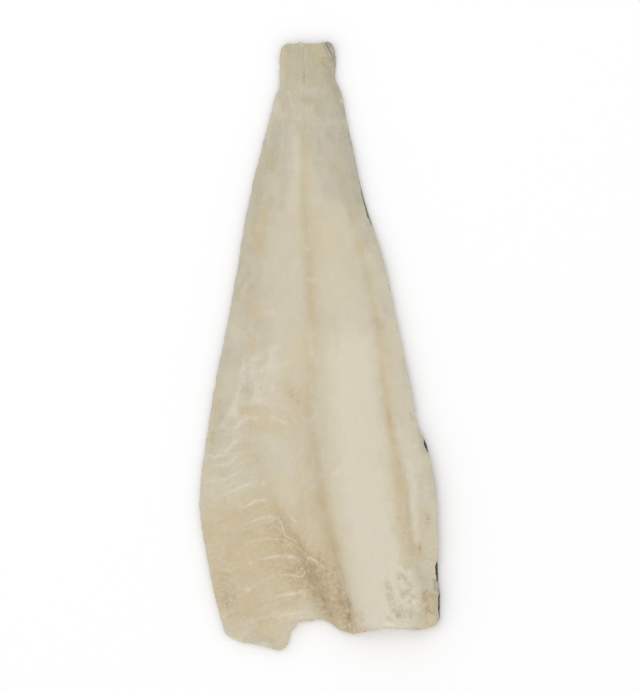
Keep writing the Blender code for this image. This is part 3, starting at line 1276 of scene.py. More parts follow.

# A row gives a mark's route, width, strength, core and end width. A tint's place in TINT_MARKS picks
# its noise.
# Besides stains and pale layers, these marks include a painted shadow at the tail's curl and painted light
# on the loin's left slope.
TINT_MARKS: Mapping[Tint, tuple[Stroke, ...]] = {
    Tint.GLASSY: marks(
        (((-60, 146), (-62, 166)), 4, 0.45), (((-54, 112), (-57, 128)), 4, 0.35),
        (((-46, 84), (-49, 100)), 3.5, 0.6), (((25, 78), (31, 104)), 4, 0.5),
        (((-72, 214), (-76, 234)), 4, 0.25), (((-78, 240), (-83, 262), (-85, 284)), 5, 0.38),
        (((-66, 184), (-68, 194)), 3, 0.5), (((-65, 250), (-66, 268)), 5, 0.3),
        (((47, 300), (48, 350), (50, 392)), 6, 0.12), (((-89, 290), (-91, 304)), 3, 0.5),
        (((-20, 8), (-8, 8), (2, 10)), 13, 0.6), (((-18, 22), (-6, 24), (8, 26)), 12, 0.6),
        (((-12, 46), (2, 48), (14, 48)), 11, 0.55), (((-34, 70), (-38, 88)), 7, 0.7),
        (((-18, 72), (-4, 76), (8, 82)), 9, 0.3),
        (((4, 60), (12, 84), (20, 106), (28, 124)), 11, 0.8),
        (((4, 6), (8, 18), (10, 34)), 6, 0.35),
        (((11, 36), (16, 58), (20, 86), (24, 104), (30, 132)), 4, 0.55),
        (((8, 36), (12, 48), (16, 60)), 8, 0.8),
        (((11, 30), (16, 52), (21, 75), (26, 98), (34, 126)), 6, 0.95),
        (((33, 132), (40, 148), (46, 168), (52, 186)), 6, 0.4),
        (((-4, 84), (2, 104), (6, 122)), 8, 0.45), (((-28, 80), (-31, 120), (-36, 146)), 6, 0.45),
        (((-28, 36), (-27, 64)), 6, 0.4), (((22, 82), (27, 106)), 5, 0.3),
        (((-53, 146), (-51, 168)), 5, 0.55), (((50, 206), (53, 222)), 4, 0.4),
        (((50, 252), (52, 270)), 5, 0.45), (((-88, 336), (-82, 344)), 5, 0.3),
        (((58, 444), (61, 470)), 4, 0.35), (((-46, 104), (-50, 126), (-56, 140)), 7, 0.75),
        (((-47, 138), (-52, 160), (-54, 172)), 6, 0.6), (((-62, 172), (-60, 205)), 11, 0.7),
        (((-70, 206), (-73, 222)), 6, 0.25), (((-60, 222), (-57, 236)), 7, 0.55),
        (((-74, 248), (-80, 266)), 7, 0.3), (((-68, 256), (-62, 276), (-64, 296)), 6, 0.15),
        (((60, 448), (64, 472)), 5, 0.4), (((25, 124), (32, 146), (38, 170)), 4, 0.5),
        (((95.5, 451), (96.5, 478)), 3.6, 0.8), (((-80, 300), (-84, 322)), 8, 0.6),
        (((60, 206), (66, 236)), 5, 0.2), (((68, 262), (71, 284)), 3, 0.25),
        (((84, 318), (88, 336)), 5, 0.6), (((92, 352), (93, 372)), 4, 0.35),
        (((78, 432), (88, 440), (90, 448)), 7, 0.3), (((-38, 165), (-40, 215)), 9, 0.12),
        (((-46, 232), (-46, 262)), 7, 0.3), (((-12, 386), (-10, 408)), 7, 0.12),
        (((-70, 482), (-78, 486)), 5, 0.1), (((-54, 494), (-44, 496)), 5, 0.35),
    ),
    Tint.OLIVE_AND_SHADE: marks(
        (((-8, 4), (-4, 16), (-3, 32)), 8, 0.75), (((5, 14), (8, 30)), 5, 0.6),
        (((-52, 150), (-54, 164)), 7, 0.4), (((20, 128), (25, 136), (28, 150)), 4, 0.6),
        (((36, 186), (42, 204)), 4, 0.45), (((69, 410), (70, 420), (71, 429)), 4.5, 0.45, 0.4),
        (((-40, 92), (-41, 103)), 6, 0.9, 0.3), (((-22, 6), (-8, 8), (4, 14)), 10, 0.6),
        (((-14, 22), (4, 26)), 9, 0.35), (((-12, 48), (-2, 50), (0, 54)), 5, 0.8),
        (((12, 38), (14, 50)), 4, 0.5), (((10, 102), (18, 112), (18, 122)), 6, 0.65),
        (((-41, 126), (-40, 134)), 3, 0.7), (((-26, 8), (-26, 20), (-22, 34)), 5, 0.6),
        (((-34, 46), (-28, 56)), 5, 0.35), (((-13, 56), (-12, 90)), 1.6, 0.25),
        (((-22, 7), (-19, 12)), 3.5, 0.4), (((46, 230), (50, 235)), 4, 0.8),
        (((-63, 284), (-58, 288)), 4, 0.5), (((-62, 188), (-66, 206)), 5, 0.45),
        (((-50, 104), (-53, 130)), 4, 0.45), (((-46, 146), (-50, 160)), 4, 0.4),
        (((-84, 296), (-80, 310)), 3, 0.4), (((68, 414), (72, 424)), 4, 0.8),
        (((74, 412), (78, 420)), 4, 0.55),
        (((54, 444), (57, 454), (62, 463), (68, 471)), 2.4, 0.95, 0.2),
        (((70, 443), (71, 447)), 2.2, 0.3), (((70, 452), (74, 460)), 2.4, 0.6),
        (((72, 464), (76, 470)), 2.4, 0.5), (((-90, 348), (-80, 356)), 5, 0.4),
        (((-66, 336), (-56, 342)), 6, 0.2), (((-14, 250), (-8, 268)), 5, 0.3),
        (((6, 20), (9, 32)), 4, 0.5), (((12, 470), (17, 482)), 5, 0.5),
        (((-62, 400), (-70, 420)), 8, 0.3), (((4, 430), (8, 456)), 4, 0.35),
        (((-52, 486), (-42, 492)), 6, 0.45), (((82, 440), (88, 448)), 5, 0.2),
    ),
    Tint.CREAMY: marks(
        (((6, 152), (12, 180), (16, 214)), 11, 0.6),
        (((-18, 240), (-14, 256), (-10, 278)), 10, 0.7), (((-24, 250), (-24, 275)), 8, 0.4),
        (((6, 240), (8, 280), (9, 330), (12, 372), (16, 400), (20, 430)), 4.5, 0.75),
        (((50, 262), (54, 290), (56, 330), (57, 372), (60, 396)), 4.5, 0.8),
        (((-92, 352), (-82, 368), (-66, 374)), 8, 0.65),
        (((-40, 360), (-28, 370), (-18, 374)), 8, 0.85), (((-60, 340), (-54, 346)), 5, 0.6),
        (((-20, 128), (-24, 140)), 6, 0.3), (((-30, 420), (-60, 430)), 12, 0.3),
        (((-16, 150), (-17, 172)), 5, 0.6), (((-50, 152), (-54, 162)), 5, 0.5),
        (((-48, 314), (-36, 320)), 8, 0.6), (((-50, 478), (-34, 481)), 7, 0.6),
        (((-30, 466), (-13, 471)), 4, 0.5), (((4, 474), (20, 484), (50, 483), (90, 482)), 1.8, 0.5),
    ),
    Tint.OILY: marks(
        (((-12.5, 70), (-12.8, 92)), 2.4, 0.14), (BONE_LINE, 4.6, 0.36, 0.2, 5.6),
        (((-3, 140), (-2, 190), (-1, 232)), 5, 0.22), (((-13.4, 112), (-13, 122)), 2.6, 0.3),
        (((-11.4, 146), (-10.6, 160)), 2.8, 0.3), (((-9.8, 178), (-9, 192)), 3, 0.35),
        (((-8.6, 204), (-8, 222)), 3.2, 0.35), (((-6.8, 230), (-6.6, 236)), 3.4, 0.2),
        (((-7, 252), (-9, 272)), 6, 0.15), (((-11, 283), (-10, 306)), 3.6, 0.45, 0.4),
        (((-34, 299), (-22, 301)), 5, 0.2), (((-6, 317), (-5.5, 333)), 4, 0.35, 0.3),
        (((-5, 336), (-1, 352)), 4, 0.42, 0.3), (((-16, 356), (-12, 386)), 5, 0.5),
        (((-4, 394), (1, 412)), 5, 0.35), (((1, 364), (2.6, 380)), 4, 0.6, 0.4),
        (((-12, 330), (-10, 366), (-9, 384)), 6, 0.3),
        (((0, 376), (4, 396), (9, 414)), 7, 0.6, 0.3, 9),
        (((-30, 286), (-20, 292), (-14, 304)), 6, 0.5), (((-62, 303), (-52, 304)), 6, 0.3),
        (((-34, 310), (-24, 313)), 8, 0.35), (((-48, 315), (-38, 318)), 5, 0.35),
        (((-26, 320), (-14, 350)), 7, 0.22),
        (((7, 412), (12, 430), (17, 452), (20, 468), (22, 482)), 6, 0.7, 0.4, 5),
        (((-14, 420), (-4, 436), (2, 452)), 10, 0.85, 0.4),
        (((-26, 398), (-12, 425), (0, 450), (12, 474)), 15, 0.6, 0.5, 12),
        (((-32, 412), (-24, 430), (-18, 452)), 12, 0.6, 0.4),
        (((-96, 396), (-91, 430), (-84, 462)), 3, 0.22), (((-50, 485), (-34, 491)), 8, 0.3),
        (((-86, 396), (-80, 425), (-72, 462)), 16, 0.62, 0.4, 18),
        (((-56, 392), (-50, 425), (-40, 462)), 20, 0.68, 0.5, 22),
        (((-46, 384), (-36, 390)), 8, 0.45), (((-60, 328), (-54, 345)), 6, 0.2),
        (((-50, 357), (-40, 362)), 6, 0.15), (((-50, 372), (-38, 384)), 6, 0.4),
        (((-64, 302), (-54, 303)), 5, 0.5), (((-60, 312), (-50, 318)), 6, 0.4),
        (((-84, 276), (-87, 300), (-89, 330)), 2.6, 0.45), (((-50, 146), (-53, 168)), 8, 0.4),
        (((-50, 168), (-52, 176)), 3, 0.5), (((-41, 113), (-42, 119)), 2.6, 0.35),
        (((-45, 136), (-46, 147)), 3.4, 0.65), (((-60, 208), (-54, 222)), 6, 0.5),
        (((-55, 248), (-54, 255)), 3, 0.85), (((-48, 180), (-53, 215)), 4, 0.2),
        (((26.5, 136), (27.5, 143)), 3.4, 0.5), (((31, 160), (34.5, 176)), 3.6, 0.55),
        (((38, 184), (42, 210)), 3.6, 0.25), (((43, 212), (46, 224)), 3.6, 0.4),
        (((47, 226), (49, 246)), 3.6, 0.22), (((49, 242), (51, 254)), 4, 0.6),
        (((50, 250), (52.5, 285)), 4.6, 0.65), (((53, 285), (56, 308), (60, 328)), 4.5, 1, 0.25),
        (((60, 330), (61.5, 346), (64, 362)), 4.4, 0.62, 0.3, 5),
        (((64, 362), (67.5, 384), (67.5, 402)), 5.6, 0.68, 0.35, 6.5),
        (((60, 402), (66, 406), (73, 408)), 5.5, 0.6, 0.4),
        (((69, 410), (70, 420), (71, 429)), 4.6, 0.6, 0.4), (((82, 412), (83, 424)), 4.2, 0.5),
        (((84, 387), (86, 399)), 6, 0.42), (((88, 456), (91, 465)), 6, 0.6, 0.6),
        (((88, 468), (91, 479)), 5, 0.6), (((30, 484), (46, 482), (64, 482), (84, 482.6)), 2, 0.45),
        (((14, 86), (17, 100)), 3.4, 0.2), (((20, 66), (22, 71)), 2, 0.5),
        (((-1, 6), (2, 10)), 4, 0.5, 0.3), (((-29, 6), (-31, 20)), 3, 0.3),
        (((-26, 26), (-22, 34)), 6, 0.25), (((4, 474), (20, 484), (50, 483), (80, 483)), 1.8, 0.4),
        (((24, 462), (27, 472), (31, 486)), 5, 0.85, 0, 7), (((32, 472), (38, 484)), 6, 0.4),
        (((34, 482), (50, 483)), 2.4, 0.4), (((-66, 470), (-52, 476)), 6, 0.35),
    ),
    Tint.CHALKY_AND_LIGHT: marks(
        (((26, 262), (30, 300), (34, 340), (38, 380), (46, 424), (50, 484)), 21, 0.95, 0.45, 25),
        (((24, 244), (38, 250)), 12, 0.5), (((14, 196), (22, 228)), 14, 0.25),
        (((-38, 264), (-39, 292)), 7, 0.35), (((-3, 288), (-2, 318)), 4, 0.3),
        (((-22, 138), (-18, 100)), 5, 0.3), (((-20, 78), (-19, 98)), 4, 0.3),
        (((-30, 150), (-34, 200), (-32, 240)), 9, 0.12),
        (((72, 346), (76, 362), (77, 384), (78, 410)), 3.8, 0.6, 0.25, 3),
        # The mark from (21, 424) to (29, 462) is painted light on the loin's left slope, the wall of the
        # crease that faces the light from the left.
        (((21, 424), (25, 444), (29, 462)), 4, 0.4), (((79, 450), (81, 464)), 3.4, 0.6),
        (((68, 324), (78, 345)), 8, 0.4), (((56, 426), (62, 440)), 6, 0.3),
        (((72, 444), (76, 462)), 6, 0.35), (((-19, 186), (-18, 226)), 5, 0.3),
        (((-40, 330), (-24, 340), (-18, 358)), 9, 0.25), (((-12, 7), (-12, 14)), 1.5, 0.4),
        (((-16, 0), (-15, 2)), 1.5, 0.5), (((-12, 40), (4, 41)), 4, 0.12),
        (((2, 67), (12, 68), (20, 66)), 3.4, 0.2), (((-74, 490), (-60, 496), (-42, 498)), 2.5, 0.6),
        (((-6, 474), (-14, 477), (2, 478)), 3, 0.35),
    ),
    Tint.RUSTY: marks(
        (((-33, 391), (-24, 407), (-12, 421), (-6, 432)), 4, 0.25, 0, 6),
        (((-2, 430), (2, 450), (10, 470)), 9, 0.3, 0, 8), (((10, 440), (15, 462)), 4, 0.15),
        (((-46, 426), (-36, 430)), 6, 0.2),
        (((-28, 412), (-16, 428), (-8, 440), (0, 452)), 9, 0.32),
        (((-26, 436), (-18, 448)), 5, 0.3), (((2, 424), (6, 440)), 4, 0.3),
        (((18, 470), (22, 484)), 4, 0.4), (((-12, 430), (-7, 444)), 4, 0.4),
        (((-5, 451), (2, 456.4), (5.3, 464.2), (7, 472)), 1.8, 0.35),
        (((12, 434), (17, 452), (21, 466)), 3, 0.4, 0, 3.4), (((23, 470), (24, 474)), 2, 0.65),
        (((16, 455), (19, 463)), 2.4, 0.5), (((23, 456), (25, 467)), 1.8, 0.25),
        (((28, 481), (32, 487)), 2.6, 0.35), (((62, 464), (73, 465)), 3, 0.14),
        (((-79, 440), (-76, 460)), 7, 0.28), (((-60, 404), (-54, 408)), 2.4, 0.3),
        (((-40, 399), (-33, 406)), 5, 0.2), (((-13, 24), (-13, 34)), 1.1, 0.4),
        (((4, 14), (6, 20)), 2.6, 0.6),
        (((-12.8, 122), (-10.6, 164), (-8.4, 205), (-7, 228)), 1.5, 0.06),
        (((-88, 322), (-88, 328)), 1.8, 0.35), (((55.6, 302), (58, 318)), 1.5, 0.3),
        (((64, 344), (65.6, 356)), 1.6, 0.15), (((71.5, 372), (72, 388), (73, 400)), 1.5, 0.14),
        (((-22, 290), (-16, 297)), 4, 0.2), (((-17, 475), (-6, 475.5)), 1.3, 0.4),
        (((88.4, 391), (88, 396)), 2.4, 0.3),
        (((55, 443), (57, 454), (60, 463), (65, 471)), 2.9, 0.34, 0.3),
        (((57, 475), (61, 478)), 4, 0.12), (((83, 463), (85, 471)), 3, 0.2),
        (((31, 470), (37, 485)), 5, 0.2), (((-66, 469), (-50, 477)), 5, 0.14),
        (((88, 456), (91, 465)), 6, 0.36, 0.6),
        (((30, 484.6), (46, 483), (64, 482.6), (84, 483)), 1.4, 0.25),
        (((82, 414), (82.4, 421)), 1.4, 0.4), (((66.6, 392), (70, 408)), 3, 0.12),
    ),
    Tint.SLATE_AND_SHADOW: marks(
        (((-2, 436), (2, 454), (10, 474)), 8, 0.07), (((83, 322), (86, 334)), 4, 0.22),
        # The mark from (3.5, 3) to (10.5, 20) is a painted shadow along the flesh's edge, where it meets
        # the curled skin at the tail.
        (((86.4, 328), (88, 336)), 1.6, 0.2), (((3.5, 3), (7.5, 13), (10.5, 20)), 1.1, 0.45),
        (((13, 40), (16.5, 52), (20, 68), (23, 92), (29, 124), (32, 136)), 3.4, 0.13),
        (((15, 46), (19, 60)), 2.4, 0.14), (((9, 24), (10, 34), (14, 43), (18.5, 51)), 2.6, 0.2),
        (((5, 20), (6, 30)), 3, 0.12), (((-54, 148), (-53, 166)), 4, 0.08),
        (((24, 74), (28, 98), (33, 118)), 1.2, 0.15), (((40, 150), (46, 166)), 1.4, 0.2),
        (((93.6, 443), (95, 450)), 1.8, 0.45), (((97, 452), (98, 466), (98, 478)), 1.4, 0.6),
        (((75, 306), (77, 311)), 1.6, 0.3),
    ),
    Tint.VEIL: marks(
        (((-62, 268), (-53, 260), (-44, 254), (-35, 252)), 2.4, 0.35),
        (((-40, 252), (-39, 262), (-45, 271), (-48, 282), (-50, 294)), 2.8, 0.4),
        (((-55, 266), (-55.5, 276), (-52, 284), (-54, 294)), 2.2, 0.35),
        (((-64, 271), (-63, 279), (-66, 287), (-69.5, 297), (-70, 307)), 2.6, 0.4),
        (((-51, 270), (-38, 267), (-25, 264)), 2.6, 0.3),
        (((-63, 298), (-51, 296), (-40, 298), (-27, 301)), 2.2, 0.35),
        (((-70, 297), (-73, 303), (-76, 310), (-80, 316)), 2.4, 0.45),
        (((-70, 318), (-65, 313), (-59, 309), (-53, 310)), 2, 0.4),
        (((-38, 308), (-32, 312), (-27, 315)), 2.2, 0.3),
        (((-64, 208), (-60, 200), (-55, 195)), 2.2, 0.22), (((-66, 198), (-62, 186)), 2, 0.3),
        (((-44, 222), (-38, 223)), 1.8, 0.4), (((-58, 228), (-57, 238)), 2.2, 0.3),
        (((-6, 236), (-5.6, 262)), 3.4, 0.38), (((-2, 304), (-5, 312)), 4, 0.2),
        (((-34, 470), (-16, 473)), 4, 0.45), (((57, 440), (65, 446)), 2.6, 0.3),
        (((67, 434), (73, 436)), 2.8, 0.6),
    ),
}
# Where the surface of the muscle is smooth, where it is coarse and where it is torn.
SMOOTH_GROUND: tuple[Stroke, ...] = marks(
    (((-24, 130), (-30, 170), (-34, 215), (-30, 262)), 17, 1, 0.4),
    (((8, 140), (14, 190), (24, 250), (28, 320), (36, 400), (42, 440)), 26, 1, 0.5),
    (((-14, 84), (-8, 104), (2, 128)), 22, 0.6, 0.3),
    (((48, 186), (56, 220), (63, 262), (72, 312)), 9, 0.9), (((-34, 330), (-20, 360)), 15, 0.7),
)
ROUGH_GROUND: tuple[Stroke, ...] = marks(
    (((-74, 470), (-60, 488), (-42, 492)), 12, 1, 0.4),
    (((58, 436), (66, 450), (72, 474)), 11, 0.9, 0.4),
    (((88, 408), (92, 440), (92, 474)), 7, 0.7, 0.3), (((30, 480), (60, 480), (90, 480)), 5, 0.6),
    (((-88, 304), (-86, 336)), 8, 0.6), (((-12, 466), (10, 470), (24, 478)), 9, 0.7),
    (((-8, 12), (-8, 64)), 26, 0.5),
)
TORN_GROUND: tuple[Stroke, ...] = marks(
    (((68, 440), (70, 452), (73, 465)), 8, 1, 0.4, 9),
)
# The small pale flecks, in the two tints that the membranes have too.
FLECKS: Mapping[Tint, tuple[Stroke, ...]] = {
    Tint.FILM: marks(
        (((-25.2, 423.4), (-20.6, 424)), 1.7, 0.4), (((-46.2, 363.1),), 1.6, 0.5),
        (((-56.5, 428.2),), 1.8, 0.4), (((-59.4, 450.6),), 1.8, 0.45), (((22.8, 467.6),), 1.5, 0.7),
        (((24.6, 479), (25, 481)), 1.2, 0.7), (((12.7, 355),), 2.6, 0.35),
        (((-26.3, 43),), 1.4, 0.4), (((17.3, 48.6), (17.8, 50)), 1, 0.6),
        (((53.5, 478), (59.5, 478.6)), 1.5, 0.7), (((-10.6, 170),), 1.8, 0.35),
        (((-10, 196), (-3, 196)), 1.5, 0.25),
    ),
    Tint.THREAD: marks(
        (((-29, 412), (-24, 415), (-20, 420)), 1.2, 0.35), (((-44, 431), (-32, 430)), 1.2, 0.2),
    ),
}
GROOVES: tuple[Stroke, ...] = marks(
    (BACK_GROOVE, 4.5, 0.25), (LOWER_BONE_LINE, 6, 0.15), (CREASE_LINE, 3, 0.2), (BELLY_LINE, 3, 0.25),
)
BONE_GROOVE = Stroke(BONE_LINE, 3, 0.1)
BACK_LIP = Stroke(((72, 350), (76, 378), (78, 402)), 3.2, 0.35)


@dataclass(frozen=True)
class Membrane:
    """One fine membrane on the flesh, by its route of x and station points, in millimetres."""

    HALO_WIDTH: ClassVar[float] = 1.1
    HALO_STRENGTH: ClassVar[float] = 0.3
    SWELLING_WIDTH: ClassVar[float] = 1.3

    route: tuple[Point, ...]
    width: float
    strength: float
    lift: float = 0.14
    tint: Tint = Tint.FILM

    def halo(self) -> Stroke:
        """The faint white round it."""
        return Stroke(self.route, self.width * self.HALO_WIDTH, self.strength * self.HALO_STRENGTH)

    def swelling(self) -> Stroke:
        """The low swelling of the flesh under it."""
        return Stroke(self.route, self.width * self.SWELLING_WIDTH, self.lift)


MEMBRANES: tuple[Membrane, ...] = (
    Membrane(((-60.5, 308.7), (-64.3, 312.5), (-68, 317.6), (-75.3, 318.8)), 1.7, 0.36),
    Membrane(((-62.5, 325.5), (-68.8, 328.5), (-74, 333.5), (-80, 340.3)), 2, 0.45),
    Membrane(((-76, 339), (-85, 341), (-92, 341.2)), 2.4, 0.25),
    Membrane(((-64, 337.8), (-68.8, 341.9), (-75.7, 347.7), (-91.4, 349.4)), 2.1, 0.36),
    Membrane(((-60.6, 351.1), (-68.8, 355.2), (-76.3, 359.3), (-82.5, 360.7), (-91.5, 361.7)), 2, 0.38),
    Membrane(((-53.7, 363.4), (-58.6, 363.8), (-64, 366.2), (-70.9, 369.3), (-79.8, 372)), 1.9, 0.5),
    Membrane(((-42.4, 379.6), (-43.4, 377.4), (-51.6, 377.1), (-59.9, 381.6), (-66, 383.7)), 1.9, 0.46),
    Membrane(((-37, 390), (-44.8, 391.2), (-51.6, 392.9), (-57.8, 395.6)), 2.3, 0.42),
    Membrane(((-45, 391), (-38, 390), (-33.9, 391.9), (-31.4, 396), (-29.8, 402.2), (-28.4, 406.3),
              (-24.9, 408), (-20.1, 410.4), (-18.8, 413.1), (-16, 417.2), (-12.8, 421)),
             1, 0.8, tint=Tint.THREAD),
    Membrane(((-25.4, 389.2), (-18.4, 397)), 1.6, 0.42),
    Membrane(((-61, 412.4), (-51.6, 409.7), (-43.4, 408.6), (-29.8, 409.3), (-23.6, 412.4),
              (-18.8, 415.9), (-16, 418.6)), 1, 0.6, tint=Tint.THREAD),
    Membrane(((-53, 425.6), (-43.4, 424.8), (-35.2, 423.1), (-24.9, 424.1), (-20.1, 425.4),
              (-13.4, 429.8)), 1.8, 0.38),
    Membrane(((-11.4, 423.8), (-6.4, 425.4), (-1.6, 428.4)), 1.4, 0.7, 0.2),
    Membrane(((-9.7, 424.8), (-12, 431.2)), 0.9, 0.55),
    Membrane(((-40, 439.8), (-33.9, 438.2), (-27, 438.2), (-20.1, 439.2), (-16, 440.2), (-12.6, 437.8),
              (-12.3, 435.7), (-15, 432.6)), 1, 0.75, tint=Tint.THREAD),
    Membrane(((-38.5, 439.2), (-47.5, 443.3), (-60, 450.4)), 1.3, 0.25),
    Membrane(((-39, 457.4), (-29.8, 454.9), (-20.1, 453.5), (-12.6, 451.2)), 1.7, 0.6, 0.2),
    Membrane(((-12.9, 451.4), (-12.3, 457.6)), 1, 0.85, tint=Tint.THREAD),
    Membrane(((-64.5, 479.4), (-57.6, 476.9), (-50.1, 473.9), (-41.1, 472.8), (-33.6, 471.7)), 1.9, 0.26),
    Membrane(((-38, 472.2), (-26.2, 470.9), (-18.7, 469.8), (-10.4, 469.1), (-5.8, 471.4)),
             1.4, 0.8, tint=Tint.THREAD),
    Membrane(((-63.5, 259), (-62.1, 269.7), (-56.7, 273.5), (-56.7, 280.6)), 2.4, 0.2, 0.06),
    Membrane(((-47.8, 263), (-46.3, 278), (-49.6, 286)), 2.4, 0.2, 0.06),
    Membrane(((-39.4, 309), (-28.6, 314.3)), 1.6, 0.32, 0.1),
    Membrane(((38, 461), (52, 460.3)), 1, 0.3, 0.05),
    Membrane(((40, 464.8), (50, 464)), 1, 0.3, 0.05),
    Membrane(((41, 468.2), (53, 467.4)), 1, 0.3, 0.05),
    Membrane(((40, 471.6), (49, 471)), 1, 0.25, 0.05),
    Membrane(((-39, 254), (-40, 264), (-46, 274), (-49, 286)), 2.2, 0.18, 0.06),
    Membrane(((-63.5, 282), (-68, 292), (-70, 304)), 2.2, 0.2, 0.06),
)


@dataclass
class Flesh:
    """The boned flesh: a closed sheet with the bands of muscle, their creases and fine relief."""

    columns: tuple[int, int, int, int] = (72, 38, 50, 24)
    rows: int = 433
    inset: float = 0.5
    raggedness: float = 0.95
    seed: int = 11
    under_step: int = 8
    wall_rings: int = 9
    wall_bulge: float = 0.5
    wall_slant: float = -0.3
    wall_roughness: float = 0.12
    cut_slant: float = 0.3
    cut_roughness: float = 0.55
    cut_start: Point = (462, 474)
    cut_side: Point = (4, 14)
    full_relief: float = 4.0
    least_relief: float = 0.3
    swell: Lumps = Lumps(21, across=26, along=34, strength=0.3)
    ripple: Lumps = Lumps(22, across=7, along=10, strength=0.1)
    bone_breaks: Lumps = Lumps(22, across=3, along=3, strength=0.6, layers=1)
    pits: Lumps = Lumps(23, across=1.8, along=2.4)
    least_pits: float = 0.03
    grit_pits: float = 0.09
    grit_drift: Lumps = Lumps(26, across=12, along=16, strength=0.2)
    wrinkles: Lumps = Lumps(23, across=9, along=2.8, strength=0.12)
    wrinkle_start: Point = (16, 36)
    wrinkle_end: Point = (95, 60)
    wrinkle_streaks: Point = (130, 70)
    torn_lumps: Lumps = Lumps(25, across=3.2, along=3.8, strength=2.0)
    torn_rise: float = 0.1
    torn_height: float = 0.4
    torn_chalk: float = 0.6
    # Olive in the torn lumps' hollows: the torn flesh's olive colour, and painted shade where the relief
    # is low.
    torn_olive_and_shade: float = 0.85
    septa_spacing: float = 9.5
    septa_width: float = 0.09
    septa_depth: float = 0.13
    septa_slopes: Triple = (0.75, 0.5, 0.28)
    septa_start: Point = (90, 150)
    septa_bend: Lumps = Lumps(31, across=12, along=16, strength=0.35, layers=1)
    septa_patches: Lumps = Lumps(31, across=22, along=30, layers=1, shift=7)
    septa_fade: Point = (-0.5, 0.6)
    rib_spacing: float = 15.5
    rib_slope: float = 0.45
    rib_height: float = 0.22
    rib_start: Point = (300, 335)
    rib_side: Point = (-2, 10)
    strand_start: Point = (296, 325)
    strand_side: Point = (10, -12)
    first_tint_seed: int = 60
    tint_room: float = 1.1

    def relief(self, x: Array, s: Array, thickness: Array) -> Array:
        """The fine relief on the muscle.

        Args:
            x: Where to read it.
            s: Where to read it, by station.
            thickness: How thick the flesh is.

        Returns:
            What is added to the thickness.
        """
        pitted = (self.least_pits + self.grit_pits * self.gritty(x, s)) * self.pits.at(x, s)
        wrinkled = smooth_step(s, *self.wrinkle_start) * smooth_step(s, *self.wrinkle_end)
        total = self.swell.at(x, s) + self.ripple.at(x, s) + pitted
        total += wrinkled * self.wrinkles.at(x, s)
        total += BACK_LIP.at(x, s) - BONE_GROOVE.at(x, s) * (1 + self.bone_breaks.at(x, s))
        total -= sum(groove.at(x, s) for groove in GROOVES)
        total += sum(membrane.swelling().at(x, s) for membrane in MEMBRANES)
        total += self.septa(x, s) + self.ribs(x, s) + self.torn_height * self.torn(x, s)
        return total * np.clip(thickness / self.full_relief, self.least_relief, 1)

    def torn(self, x: Array, s: Array) -> Array:
        """The lumps of torn flesh near the cut end, between -1 and 1."""
        return joined(TORN_GROUND, x, s) * np.clip(self.torn_lumps.at(x, s) + self.torn_rise, -1, 1)

    def gritty(self, x: Array, s: Array) -> Array:
        """How coarse the surface is: 0 on smooth muscle, 1 at the edges, more where it is torn."""
        even = np.clip(1 - joined(SMOOTH_GROUND, x, s) + self.grit_drift.at(x, s), 0, 1)
        return even + joined(ROUGH_GROUND, x, s)

    def ribbed(self, x: Array, s: Array) -> Array:
        """Where fine strands run across the flap, from 0 to 1."""
        to_belly = FORM.beyond(Crease.BELLY, x, s)
        return smooth_step(s, *self.strand_start) * smooth_step(to_belly, *self.strand_side)

    def septa(self, x: Array, s: Array) -> Array:
        """Faint zigzag furrows where the blocks of muscle meet.

        Args:
            x: Where to read them.
            s: Where to read them, by station.

        Returns:
            The furrows' relief.
        """
        to_belly, to_bone = FORM.beyond(Crease.BELLY, x, s), FORM.beyond(Crease.BONE, x, s)
        flap, side, loin = self.septa_slopes
        slope = np.where(to_bone > 0, side * (to_belly - to_bone) - loin * to_bone, side * to_belly)
        slope = np.where(to_belly < 0, -flap * to_belly, slope)
        phase = (s - slope) / self.septa_spacing + self.septa_bend.at(x, s)
        furrow = np.exp(-(((phase - np.round(phase)) / self.septa_width) ** 2))
        patchy = smooth_step(self.septa_patches.at(x, s), *self.septa_fade)
        return -self.septa_depth * furrow * patchy * smooth_step(s, *self.septa_start)

    def ribs(self, x: Array, s: Array) -> Array:
        """The soft swelling of the belly flap between its membranes.

        Args:
            x: Where to read it.
            s: Where to read it, by station.

        Returns:
            The swelling's relief.
        """
        to_belly = FORM.beyond(Crease.BELLY, x, s)
        wave = 0.5 + 0.5 * np.cos(2 * np.pi * (s + self.rib_slope * to_belly) / self.rib_spacing)
        on_flap = smooth_step(-to_belly, *self.rib_side) * smooth_step(s, *self.rib_start)
        return self.rib_height * wave * on_flap

    def _tinted(self, number: int, strokes: Sequence[Stroke], x: Array, s: Array) -> Array:
        """How strongly one tint colours the flesh.

        Args:
            number: Which tint it is, in the order of TINT_MARKS.
            strokes: Its marks.
            x: Where to read them.
            s: Where to read them, by station.

        Returns:
            The marks, uneven in outline and patchy where they are neither whole nor absent.
        """
        seed = self.first_tint_seed + number
        moved_x = x + Lumps(seed, across=8, along=10, strength=1.2).at(x, s)
        moved_s = s + Lumps(seed, across=8, along=12, strength=2.0, shift=50).at(x, s)
        whole = joined(strokes, moved_x, moved_s)
        patchy = Lumps(seed, across=5, along=8, strength=1.1, layers=4, shift=90).at(x, s)
        return np.clip(whole + patchy * whole * (self.tint_room - whole), 0, 1)

    def masks(self, x: Array, s: Array) -> dict[Enum, Array]:
        """How strongly each tint colours the flesh, and where its texture changes.

        Args:
            x: Where to read them.
            s: Where to read them, by station.

        Returns:
            The values of each mask.
        """
        masks: dict[Enum, Array] = {}
        for number, (tint, strokes) in enumerate(TINT_MARKS.items()):
            masks[tint] = self._tinted(number, strokes, x, s)
        torn = self.torn(x, s)
        masks[Tint.CHALKY_AND_LIGHT] = np.clip(masks[Tint.CHALKY_AND_LIGHT] + self.torn_chalk * torn, 0, 1)
